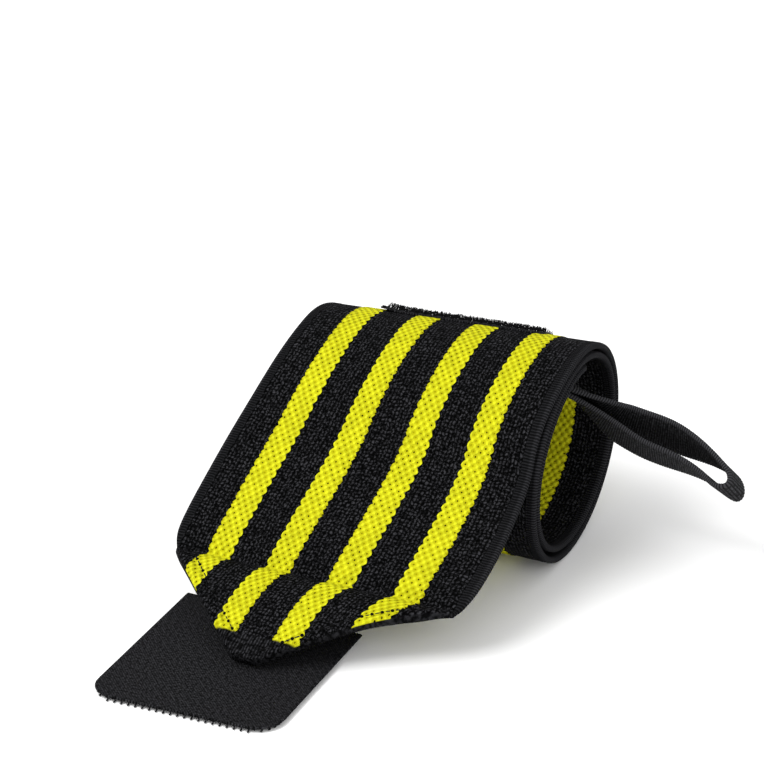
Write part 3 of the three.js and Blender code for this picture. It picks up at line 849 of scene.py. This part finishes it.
def ribbed_tape():
    """Black ribbed elastic: bright on the ribs, painted shade between them, fine yarn ends across."""
    material = bpy.data.materials.new("ribbed_polyester_tape")
    material.use_nodes = True
    tree = material.node_tree
    cloth = add(tree, "ShaderNodeAttribute", attribute_name="cloth").outputs["Vector"]
    split = add(tree, "ShaderNodeSeparateXYZ", {0: cloth})
    across, along = split.outputs["X"], split.outputs["Y"]
    beat = add(tree, "ShaderNodeMath", {0: along, 1: math.pi / RIB_PITCH}, operation="MULTIPLY")
    rib = add(tree, "ShaderNodeMath", {0: beat.outputs[0]}, operation="SINE")
    rib = add(tree, "ShaderNodeMath", {0: rib.outputs[0]}, operation="ABSOLUTE").outputs[0]
    ends = add(tree, "ShaderNodeMath", {0: across, 1: 2 * math.pi / WARP_PITCH}, operation="MULTIPLY")
    ends = add(tree, "ShaderNodeMath", {0: ends.outputs[0]}, operation="SINE").outputs[0]
    height = add(tree, "ShaderNodeMath", {0: ends, 1: WARP_RISE, 2: rib}, operation="MULTIPLY_ADD")
    colour = add(tree, "ShaderNodeMix", {
        0: rib, 6: linear(YARN_RECESS_SHADE), 7: linear(RIB_BLACK),
    }, **COLOURS).outputs[2]

    # As on the band, the yarns catch uneven light, painted in as flecks; the two edges get a painted
    # highlight.
    fleck = add(tree, "ShaderNodeTexNoise", {"Vector": cloth, "Scale": FLECKS_PER_MM})
    lit = add(tree, "ShaderNodeMapRange", {
        0: fleck.outputs[0], 1: 0.34, 2: 0.68, 3: 0.3, 4: 2.1,
    }, **SMOOTH).outputs[0]
    outward = add(tree, "ShaderNodeMath", {0: across}, operation="ABSOLUTE").outputs[0]
    edge = add(tree, "ShaderNodeMapRange", {
        0: outward, 1: LOOP_WIDTH / 2 - 1.2, 2: LOOP_WIDTH / 2 - 0.5,
    }, **SMOOTH).outputs[0]
    lit = add(tree, "ShaderNodeMix", {0: edge, 2: lit, 3: LOOP_EDGE_HIGHLIGHT}).outputs[0]
    colour = add(tree, "ShaderNodeVectorMath", {0: colour, "Scale": lit}, operation="SCALE").outputs[0]
    bump = add(tree, "ShaderNodeBump", {
        "Height": height.outputs[0], "Distance": LOOP_BUMP * MM, "Strength": 0.7,
    })
    tree.links.new(colour, tree.nodes["Principled BSDF"].inputs["Base Color"])
    finish_cloth(tree, bump, roughness=0.78, sheen=0.01)
    return material


thumb_loop.data.materials.append(ribbed_tape())
print("the loop's tape is", round(float(LOOP_LENGTH), 1), "mm long, its ribs", RIB_PITCH, "mm apart")

# %% [markdown]
# ## The hook tab
# Hook tape is a thin, stiff nylon tape with rows of tiny hooks on one face. It lies hooks down, so
# its smooth back shows, and the hooks show only as a row of teeth along its cut edges. The tape is a
# plain sheet, and one hook is drawn once and set down hundreds of times.

# %% The tape's outline and mesh
TAPE_THICKNESS = 0.75
TAPE_RIM = 0.03
TAPE_ROUNDING = 0.35
TAPE_ROUNDED = 0.6
TAB_ROOT_Y = -SEAM_REACH - TAB_BEYOND_SEAM
TAB_FRONT_Y = TIP[1] - TAB_VISIBLE


def tab_rows():
    """Distance along the tab, half width and slant, from the root to the front edge."""
    turn = np.linspace(0, 1, 9) * 0.97 * math.pi / 2
    corner_y = TAB_FRONT_Y + TAB_CORNER * (1 - np.sin(turn))
    corner_half = TAB_WIDTH / 2 - TAB_CORNER * (1 - np.cos(turn))
    plain_y = np.linspace(TAB_ROOT_Y, corner_y[0], 24)[:-1]
    y = np.concatenate([plain_y, corner_y])
    half = np.concatenate([np.full(len(plain_y), TAB_WIDTH / 2), corner_half])
    slant = TAB_FRONT_SLANT * smoothstep(-y, -TIP[1], -corner_y[0])
    return y, half, slant


def tab_mesh():
    y, half, slant = (part[:, None] for part in tab_rows())
    rim = TAPE_RIM * np.linspace(0, 1, 4)
    plain = np.linspace(2 * TAPE_RIM - 1, 1 - 2 * TAPE_RIM, 24)
    shares = np.concatenate([rim - 1, plain, 1 - rim[::-1]])[None]
    x = shares * half
    round_rim = np.sqrt(1 - np.clip((np.abs(shares) - 1 + TAPE_RIM) / TAPE_RIM, 0, 1) ** 2)
    front = np.clip((TAB_FRONT_Y + TAPE_ROUNDING - y) / TAPE_ROUNDING, 0, 1)
    thick = TAPE_THICKNESS / 2 * round_rim * np.sqrt(1 - TAPE_ROUNDED * front ** 2)
    level = TAB_WALL - TAPE_THICKNESS / 2
    side = y + slant * x
    lower = np.stack([x + TAB_SIDE_SHIFT, side, level - thick], -1)
    upper = np.stack([x + TAB_SIDE_SHIFT, side, level + thick], -1)
    points = np.concatenate([lower, upper[:, -2:0:-1]], 1)
    places = np.concatenate([x, x[:, -2:0:-1]], 1)
    along = np.broadcast_to(y, places.shape)
    return points, closed_faces(len(y), shares.shape[1]), np.stack([places, along, 0 * places], -1)


tab_points, tab_faces, tab_cloth = tab_mesh()
hook_tape = cloth_piece("hook_tape", tab_points, tab_faces, tab_cloth)

# %% The tape's material
TWILL_PITCH = 0.8
TAPE_BLACK = "#242426"
# The darker black is painted shade in the hollows between the tape's yarns.
TAPE_RECESS_SHADE = "#0c0c0d"
TWILL_BUMP = 0.12
GRAIN_PER_MM = 1.5


def twill_tape():
    """Nylon tape in a fine twill: staggered short yarns, drawn a little coarse so that they show."""
    material = bpy.data.materials.new("nylon_hook_tape")
    material.use_nodes = True
    tree = material.node_tree
    cloth = add(tree, "ShaderNodeAttribute", attribute_name="cloth").outputs["Vector"]
    split = add(tree, "ShaderNodeSeparateXYZ", {0: cloth})
    yarn = staggered(tree, split.outputs["X"], split.outputs["Y"], TWILL_PITCH / 2, TWILL_PITCH)
    yarn = add(tree, "ShaderNodeMapRange", {0: yarn, 1: -0.8, 2: 0.8}, **SMOOTH).outputs[0]
    # Between the short yarns the colour falls to painted shade.
    colour = add(tree, "ShaderNodeMix", {
        0: yarn, 6: linear(TAPE_RECESS_SHADE), 7: linear(TAPE_BLACK),
    }, **COLOURS).outputs[2]
    grain = add(tree, "ShaderNodeTexNoise", {"Vector": cloth, "Scale": GRAIN_PER_MM, "Detail": 3.0})
    lit = add(tree, "ShaderNodeMapRange", {
        0: grain.outputs[0], 1: 0.36, 2: 0.66, 3: 0.3, 4: 2.0,
    }, **SMOOTH).outputs[0]
    colour = add(tree, "ShaderNodeVectorMath", {0: colour, "Scale": lit}, operation="SCALE").outputs[0]
    bump = add(tree, "ShaderNodeBump", {"Height": yarn, "Distance": TWILL_BUMP * MM, "Strength": 0.8})
    tree.links.new(colour, tree.nodes["Principled BSDF"].inputs["Base Color"])
    finish_cloth(tree, bump, roughness=0.7)
    return material


HOOK_TAPE = twill_tape()
hook_tape.data.materials.append(HOOK_TAPE)

# %% Plain nylon, for hooks, pile and thread
NYLON_GLOSS = 0.1


def plain_nylon(name, code, roughness):
    """Drawn fibre: the eye sees a dark line with a faint gloss, too thin to show a pattern."""
    material = bpy.data.materials.new(name)
    material.use_nodes = True
    shader = material.node_tree.nodes["Principled BSDF"]
    shader.inputs["Base Color"].default_value = linear(code)
    shader.inputs["Roughness"].default_value = roughness
    shader.inputs["Specular IOR Level"].default_value = NYLON_GLOSS
    return material


HOOK_NYLON = plain_nylon("extruded_nylon_hook", "#161618", 0.5)
PILE_NYLON = plain_nylon("brushed_nylon_pile", "#0e0e10", 0.85)
THREAD = plain_nylon("bonded_polyester_thread", "#19191b", 0.6)
# The needle holes are dark beads of painted shadow.
NEEDLE_HOLE_SHADOW = plain_nylon("needle_hole_shadow", "#050505", 1.0)

# %% [markdown]
# ## Small things set down many times
# Geometry Nodes draw one hook, one pile loop or one stitch and set it down on every point. Each tree
# ends by turning its copies into plain mesh, so that the export keeps them.

# %% Trees and their results
def new_tree(name, sizes):
    """An empty tree with a named input for each size, and the node that hands the inputs in."""
    tree = bpy.data.node_groups.new(name, "GeometryNodeTree")
    tree.interface.new_socket("Geometry", in_out="INPUT", socket_type="NodeSocketGeometry")
    for label, value in sizes.items():
        kind = "NodeSocketInt" if isinstance(value, int) else "NodeSocketFloat"
        tree.interface.new_socket(label, in_out="INPUT", socket_type=kind).default_value = value
    tree.interface.new_socket("Geometry", in_out="OUTPUT", socket_type="NodeSocketGeometry")
    start = add(tree, "NodeGroupInput")
    return tree, start


def close_tree(tree, instances, material):
    """Ends a tree: its copies become plain mesh of one material."""
    real = add(tree, "GeometryNodeRealizeInstances", {0: instances})
    finished = add(tree, "GeometryNodeSetMaterial", {"Geometry": real.outputs[0], "Material": material})
    add(tree, "NodeGroupOutput", {0: finished.outputs[0]})


def grown(name, base, tree, sizes):
    """Runs a tree on a base mesh and keeps what it grew as a plain mesh."""
    carrier = bpy.data.objects.new(name, base)
    bpy.context.scene.collection.objects.link(carrier)
    modifier = carrier.modifiers.new("grow", "NODES")
    modifier.node_group = tree
    for item in tree.interface.items_tree:
        if item.in_out == "INPUT" and item.name in sizes:
            modifier[item.identifier] = sizes[item.name]
    bpy.context.view_layer.update()
    depsgraph = bpy.context.evaluated_depsgraph_get()
    mesh = bpy.data.meshes.new_from_object(carrier.evaluated_get(depsgraph))
    bpy.data.objects.remove(carrier)
    piece = bpy.data.objects.new(name, mesh)
    bpy.context.scene.collection.objects.link(piece)
    triangles = sum(len(face.vertices) - 2 for face in mesh.polygons)
    print(name, "grew", triangles, "triangles")
    return piece


def points_mesh(name, points, joined=False):
    mesh = bpy.data.meshes.new(name)
    edges = [(place, place + 1) for place in range(len(points) - 1)] if joined else []
    mesh.from_pydata((np.asarray(points) * MM + ORIGIN).tolist(), edges, [])
    return mesh


# %% The field of hooks
# Each hook hangs from the tape's lower face and bends over towards the tab's front edge.
HOOK_PITCH = 1.9
HOOK_ROW_PITCH = 1.5
HOOK_MARGIN = 1.1
HOOK_FRONT_MARGIN = 0.2
HOOK_ROOT_MARGIN = 0.8
HOOK_HEIGHT = 0.8
HOOK_WIRE = 0.24
HOOK_KNEE = 0.15
HOOK_BOW = 0.6
HOOK_REACH = 0.7
HOOK_CLAW_LEVEL = 0.45
HOOK_SUNK = 0.05


def hook_tree():
    sizes = {"Height": HOOK_HEIGHT * MM, "Wire": HOOK_WIRE * MM}
    tree, start = new_tree("hook_field", sizes)
    down = add(tree, "ShaderNodeMath", {0: start.outputs["Height"], 1: -1.0}, operation="MULTIPLY")
    foot = add(tree, "ShaderNodeCombineXYZ", {"Z": 0.0})
    knee = add(tree, "ShaderNodeCombineXYZ", {"Y": HOOK_KNEE * MM, "Z": down.outputs[0]})
    back = add(tree, "ShaderNodeMath", {0: down.outputs[0], 1: HOOK_CLAW_LEVEL}, operation="MULTIPLY")
    claw = add(tree, "ShaderNodeCombineXYZ", {"Y": -HOOK_REACH * MM, "Z": back.outputs[0]})
    far = add(tree, "ShaderNodeCombineXYZ", {"Y": -HOOK_BOW * MM, "Z": down.outputs[0]})
    curve = add(tree, "GeometryNodeCurvePrimitiveBezierSegment", {
        "Resolution": 7,
        "Start": foot.outputs[0],
        "Start Handle": knee.outputs[0],
        "End Handle": far.outputs[0],
        "End": claw.outputs[0],
    })
    ring = add(tree, "GeometryNodeCurvePrimitiveCircle", {
        "Resolution": 4, "Radius": start.outputs["Wire"],
    })
    hook = add(tree, "GeometryNodeCurveToMesh", {
        "Curve": curve.outputs[0], "Profile Curve": ring.outputs[0], "Fill Caps": True,
    })
    field = add(tree, "GeometryNodeInstanceOnPoints", {
        "Points": start.outputs["Geometry"], "Instance": hook.outputs[0],
    })
    close_tree(tree, field.outputs[0], HOOK_NYLON)
    return tree, sizes


def hook_places():
    y, half, slant = tab_rows()
    places = []
    level = TAB_WALL - TAPE_THICKNESS + HOOK_SUNK
    first, last = TAB_FRONT_Y + HOOK_FRONT_MARGIN, TAB_ROOT_Y - HOOK_ROOT_MARGIN
    for row_y in np.arange(first, last, HOOK_ROW_PITCH):
        row_half = np.interp(-row_y, -y, half) - HOOK_MARGIN
        count = int(2 * row_half / HOOK_PITCH)
        tilt = np.interp(-row_y, -y, slant)
        for x in np.linspace(-row_half, row_half, count + 1):
            places.append((TAB_SIDE_SHIFT + x, row_y + tilt * x, level))
    return places


tree, sizes = hook_tree()
hooks = grown("hooks", points_mesh("hook_places", hook_places()), tree, sizes)

# %% [markdown]
# ## The pile patch
# The patch is knitted tape whose face is brushed into fine nylon loops. Seen from the front it is a
# dark, straight tape edge with fuzz above it; from behind, a soft mat. The base is a thin sheet bent
# round the roll, and thousands of small loops stand on it, scattered with a fixed seed.

# %% The patch's base
PATCH_WIDTH = 48.0
PATCH_LENGTH = 50.0
PATCH_WALL = 1.4
PATCH_BASE = 0.5
PATCH_TIP_LIFT = 0.7
PATCH_TIP = 6.0
PATCH_SIDE_SHIFT = 0.6
PATCH_FRONT = math.radians(67 + 720)
PATCH_ROWS = 60


def patch_point(share, across, outward):
    """A point on the patch: share of its length from the front edge, back and down the roll."""
    mid = HALF_RIDGE + SEAT_GAP + PATCH_WALL / 2
    span = PATCH_LENGTH / (winding_radius(PATCH_FRONT) + mid)
    angle = PATCH_FRONT - span + share * span
    near_tip = smoothstep(-across, PATCH_WIDTH / 2 - PATCH_TIP, PATCH_WIDTH / 2)
    lifted = PATCH_TIP_LIFT * near_tip * smoothstep(share, 1 - 2 * PATCH_TIP / PATCH_LENGTH, 1)
    middle = winding_point(angle, HALF_WALL + outward + lifted)
    return middle + cone_across(angle) * (across + PATCH_SIDE_SHIFT)[..., None]


def patch_mesh():
    shares = np.linspace(0, 1, PATCH_ROWS)[:, None]
    half = PATCH_WIDTH / 2
    rim = half - PATCH_BASE / 2 * (1 - np.sin(np.linspace(0, math.pi / 2, 4)))
    right = np.concatenate([np.linspace(2, rim[0] - 1, 12), rim])
    across = np.concatenate([-right[::-1], [0.0], right])[None]
    past = np.clip((np.abs(across) - (half - PATCH_BASE / 2)) / (PATCH_BASE / 2), 0, 1)
    thick = PATCH_BASE / 2 * np.sqrt(1 - past * past) + 0 * shares
    across = across + 0 * shares
    shares = shares + 0 * across
    lower = patch_point(shares, across, PATCH_BASE / 2 - thick)
    upper = patch_point(shares, across, PATCH_BASE / 2 + thick)
    points = np.concatenate([lower, upper[:, -2:0:-1]], 1)
    places = np.concatenate([across, across[:, -2:0:-1]], 1)
    along = np.concatenate([shares, shares[:, -2:0:-1]], 1) * PATCH_LENGTH
    return points, closed_faces(PATCH_ROWS, across.shape[1]), np.stack([places, along, 0 * along], -1)


patch_points, patch_faces, patch_cloth = patch_mesh()
pile_base = cloth_piece("pile_base", patch_points, patch_faces, patch_cloth)
# Its base is a nylon tape too, so it has the hook tape's finish.
pile_base.data.materials.append(HOOK_TAPE)

# %% The pile
# The fibres are drawn a little thick, so that single ones show along the patch's edge.
PILE_MARGIN = 1.3
PILE_HEIGHT = 1.5
PILE_FIBRE = 0.065
PILE_GAP = 0.37
PILE_PER_SQUARE_METRE = 4.0e6
PILE_SUNK = 0.05
PILE_FOOT = 0.3
PILE_END_OUT = 0.45
PILE_END_UP = 0.3
PILE_SMALLEST = 0.65
PILE_LARGEST = 1.4


def pile_tree():
    sizes = {"Height": PILE_HEIGHT * MM, "Fibre": PILE_FIBRE * MM, "Gap": PILE_GAP * MM, "Seed": 7}
    tree, start = new_tree("pile_loops", sizes)
    spots = add(tree, "GeometryNodeDistributePointsOnFaces", {
        "Mesh": start.outputs["Geometry"],
        "Distance Min": start.outputs["Gap"],
        "Density Max": PILE_PER_SQUARE_METRE,
        "Seed": start.outputs["Seed"],
    }, distribute_method="POISSON")
    foot = add(tree, "ShaderNodeCombineXYZ", {"X": -PILE_FOOT * MM})
    top = add(tree, "ShaderNodeCombineXYZ", {"Z": start.outputs["Height"]})
    end = add(tree, "ShaderNodeCombineXYZ", {"X": PILE_END_OUT * MM, "Z": PILE_END_UP * MM})
    arch = add(tree, "GeometryNodeCurvePrimitiveBezierSegment", {
        "Resolution": 4,
        "Start": foot.outputs[0],
        "Start Handle": top.outputs[0],
        "End Handle": top.outputs[0],
        "End": end.outputs[0],
    })
    ring = add(tree, "GeometryNodeCurvePrimitiveCircle", {
        "Resolution": 3, "Radius": start.outputs["Fibre"],
    })
    fibre = add(tree, "GeometryNodeCurveToMesh", {
        "Curve": arch.outputs[0], "Profile Curve": ring.outputs[0],
    })
    turn = add(tree, "FunctionNodeRandomValue", {
        2: -math.pi, 3: math.pi, "Seed": start.outputs["Seed"],
    }, data_type="FLOAT")
    size = add(tree, "FunctionNodeRandomValue", {
        2: PILE_SMALLEST, 3: PILE_LARGEST, "Seed": 11,
    }, data_type="FLOAT")
    spun = add(tree, "FunctionNodeRotateRotation", {
        "Rotation": spots.outputs["Rotation"],
        "Rotate By": add(tree, "FunctionNodeEulerToRotation", {
            0: add(tree, "ShaderNodeCombineXYZ", {"Z": turn.outputs[1]}).outputs[0],
        }).outputs[0],
    }, rotation_space="LOCAL")
    loops = add(tree, "GeometryNodeInstanceOnPoints", {
        "Points": spots.outputs["Points"],
        "Instance": fibre.outputs[0],
        "Rotation": spun.outputs[0],
        "Scale": size.outputs[1],
    })
    close_tree(tree, loops.outputs[0], PILE_NYLON)
    return tree, sizes


def pile_ground():
    """The face that the loops stand on, a little inside the patch's edges, facing outwards."""
    rows, columns = 40, 12
    share, across = np.meshgrid(
        np.linspace(0.03, 0.985, rows), np.linspace(-1, 1, columns), indexing="ij"
    )
    across = across * (PATCH_WIDTH / 2 - PILE_MARGIN)
    points = patch_point(share, across, PATCH_BASE - PILE_SUNK)
    here = (np.arange(rows - 1)[:, None] * columns + np.arange(columns - 1)[None]).ravel()
    faces = np.stack([here, here + 1, here + columns + 1, here + columns], 1).tolist()
    mesh = bpy.data.meshes.new("pile_ground")
    mesh.from_pydata((points.reshape(-1, 3) * MM + ORIGIN).tolist(), [], faces)
    if mesh.polygons[len(faces) // 2].normal.y < 0:
        mesh.flip_normals()
    return mesh


tree, sizes = pile_tree()
pile = grown("pile", pile_ground(), tree, sizes)

# %% [markdown]
# ## Stitches
# The folded corners are held down by a lockstitch a few millimetres inside each slanting edge. Black
# thread hardly shows on black yarn, but on the yellow it cuts a dark line with needle holes, whose
# dark is drawn as small beads of painted shadow.

# %% The tree of stitches
STITCH_PITCH = 2.6
THREAD_HALF = 0.24
STITCH_HALF = 0.95
HOLE_HALF = 0.5
HOLE_SHIFT = 0.65 * STITCH_PITCH / 2
THREAD_PROUD = 0.05


def stitch_tree(name, material):
    """Small beads set down along a line, one for each stitch or for each needle hole's painted shadow.
    """
    sizes = {"Pitch": STITCH_PITCH * MM, "Thick": THREAD_HALF * MM, "Length": STITCH_HALF * MM}
    tree, start = new_tree(name, sizes)
    line = add(tree, "GeometryNodeMeshToCurve", {"Mesh": start.outputs["Geometry"]})
    places = add(tree, "GeometryNodeResampleCurve", {
        "Curve": line.outputs[0], "Length": start.outputs["Pitch"],
    }, mode="LENGTH")
    ball = add(tree, "GeometryNodeMeshUVSphere", {"Segments": 8, "Rings": 6, "Radius": 1.0})
    size = add(tree, "ShaderNodeCombineXYZ", {
        "X": start.outputs["Thick"], "Y": start.outputs["Thick"], "Z": start.outputs["Length"],
    })
    tangent = add(tree, "GeometryNodeInputTangent")
    facing = add(tree, "FunctionNodeAlignRotationToVector", {"Vector": tangent.outputs[0]}, axis="Z")
    rows = add(tree, "GeometryNodeInstanceOnPoints", {
        "Points": places.outputs[0],
        "Instance": ball.outputs[0],
        "Rotation": facing.outputs[0],
        "Scale": size.outputs[0],
    })
    smooth = add(tree, "GeometryNodeSetShadeSmooth", {0: rows.outputs[0]})
    close_tree(tree, smooth.outputs[0], material)
    return tree, sizes


# %% The lines that the needle follows
def on_band(along, across, height):
    """Points on the cloth's upper face, at distances along and across it."""
    keys = ("middle", "across", "out", "twist", "flare", "half", "fold")
    row = {key: sample(band[key], band["along"], along) for key in keys}
    flat = {key: row[key][:, 0] for key in ("flare", "half", "fold")}
    level = band_face(across, flat["half"], flat["fold"], 1) + height
    return band_point({**row, "flare": flat["flare"]}, across, level)


def diagonal_line(side, offset=0.0):
    """The stitch line of one slanting edge, as far as it stays on its own side of the cloth."""
    beyond = np.linspace(HEM_FROM, TAPER_LENGTH - HEM_ENDS_BEFORE_TIP, 60) + offset
    across = side * (taper_half(beyond) - HEM_INSET[side])
    keep = across * side > 0.5
    return on_band(SEAM_ALONG + beyond[keep], across[keep], -GROOVE_DEPTH)


thread_tree, thread_sizes = stitch_tree("thread", THREAD)
hole_shadow_tree, hole_shadow_sizes = stitch_tree("needle_holes", NEEDLE_HOLE_SHADOW)
hole_shadow_sizes = {**hole_shadow_sizes, "Thick": HOLE_HALF * MM, "Length": HOLE_HALF * MM}
stitches = []
for name, side in (("stitches_left", -1), ("stitches_right", 1)):
    line, shifted = diagonal_line(side), diagonal_line(side, HOLE_SHIFT)
    stitches.append(grown(name, points_mesh(name, line, True), thread_tree, thread_sizes))
    stitches.append(grown(name + "_holes", points_mesh(name, shifted, True), hole_shadow_tree, hole_shadow_sizes))


def patch_line(share, across):
    """A stitch line on the patch, just proud of its base."""
    share, across = np.broadcast_arrays(share, across)
    return patch_point(share.astype(float), across.astype(float), PATCH_BASE + THREAD_PROUD)


SEWN_IN = 0.9
line_half = PATCH_WIDTH / 2 - 1
line_side = PATCH_WIDTH / 2 - SEWN_IN
down = np.linspace(0.02, 0.98, 60)
sideways = np.linspace(-line_half, line_half, 60)
patch_lines = {
    "stitches_patch_front": patch_line(1 - SEWN_IN / PATCH_LENGTH, sideways),
    "stitches_patch_left": patch_line(down, -line_side),
    "stitches_patch_right": patch_line(down, line_side),
}
patch_stitches = [
    grown(name, points_mesh(name, line, True), thread_tree, thread_sizes)
    for name, line in patch_lines.items()
]

# %% [markdown]
# ## What each piece stands for
# Every visible piece rides on the frame's one body and replaces its plain solid. Each is cloth.

# %% Riding and replacing
pieces = {
    "elastic_band": (elastic_band, stitches),
    "thumb_loop": (thumb_loop, []),
    "hook_tab": (hook_tape, [hooks]),
    "pile_patch": (pile_base, [pile, *patch_stitches]),
}
for node, (piece, trims) in pieces.items():
    for part in (piece, *trims):
        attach(part, "root")
        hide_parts(node)
    print(node, "is shown by", 1 + len(trims), "pieces")

# %% [markdown]
# ## Floor, light and camera
# The wrap lies on a plain pale floor in the soft light of a product picture: one large lamp above
# and to the left, a weaker one from the right, and a bright room all round.

# %% The floor
FLOOR_HALF = 3.0
floor_mesh = bpy.data.meshes.new("floor")
corners = [(-1, -1), (1, -1), (1, 1), (-1, 1)]
floor_mesh.from_pydata([(x * FLOOR_HALF, y * FLOOR_HALF, 0.0) for x, y in corners], [], [(0, 1, 2, 3)])
floor = bpy.data.objects.new("floor", floor_mesh)
bpy.context.scene.collection.objects.link(floor)
paper = bpy.data.materials.new("matte_white_paper")
paper.use_nodes = True
paper_shader = paper.node_tree.nodes["Principled BSDF"]
paper_shader.inputs["Base Color"].default_value = linear("#fafafa")
paper_shader.inputs["Roughness"].default_value = 0.9
floor_mesh.materials.append(paper)

# %% The light
ROOM_LIGHT = 0.85
world = bpy.data.worlds.new("bright_room")
world.use_nodes = True
world.node_tree.nodes["Background"].inputs["Color"].default_value = (1.0, 1.0, 1.0, 1.0)
world.node_tree.nodes["Background"].inputs["Strength"].default_value = ROOM_LIGHT
bpy.context.scene.world = world


def soft_lamp(name, place, power, size):
    data = bpy.data.lights.new(name, "AREA")
    data.energy = power
    data.size = size
    lamp = bpy.data.objects.new(name, data)
    lamp.location = place
    lamp.rotation_euler = (Vector((0, 0, 0.03)) - Vector(place)).to_track_quat("-Z", "Y").to_euler()
    bpy.context.scene.collection.objects.link(lamp)


soft_lamp("key_lamp", (-0.45, -0.4, 0.8), 8.0, 0.6)
soft_lamp("fill_lamp", (0.7, -0.5, 0.5), 2.5, 0.6)

# %% The camera
AZIMUTH = math.radians(25)
ELEVATION = math.radians(26)
CAMERA_DISTANCE = 0.770
AIM = Vector((0.0, -37.5, 58.4)) * MM + Vector(ORIGIN)
FOCAL_PIXELS = 3000
PHOTO_WIDTH = 764
SENSOR = 36.0

back = Vector((
    math.sin(AZIMUTH) * math.cos(ELEVATION),
    -math.cos(AZIMUTH) * math.cos(ELEVATION),
    math.sin(ELEVATION),
))
right = Vector((math.cos(AZIMUTH), math.sin(AZIMUTH), 0.0))
lens = bpy.data.cameras.new("camera")
lens.sensor_width = SENSOR
lens.sensor_fit = "HORIZONTAL"
lens.lens = SENSOR * FOCAL_PIXELS / PHOTO_WIDTH
lens.clip_start = 0.01
camera = bpy.data.objects.new("camera", lens)
turned = Matrix((right, back.cross(right), back)).transposed().to_4x4()
camera.matrix_world = Matrix.Translation(AIM + back * CAMERA_DISTANCE) @ turned
bpy.context.scene.collection.objects.link(camera)
bpy.context.scene.camera = camera
bpy.context.scene.view_settings.view_transform = "Standard"
print("camera is", CAMERA_DISTANCE, "m from its aim, lens", round(lens.lens, 1), "mm")
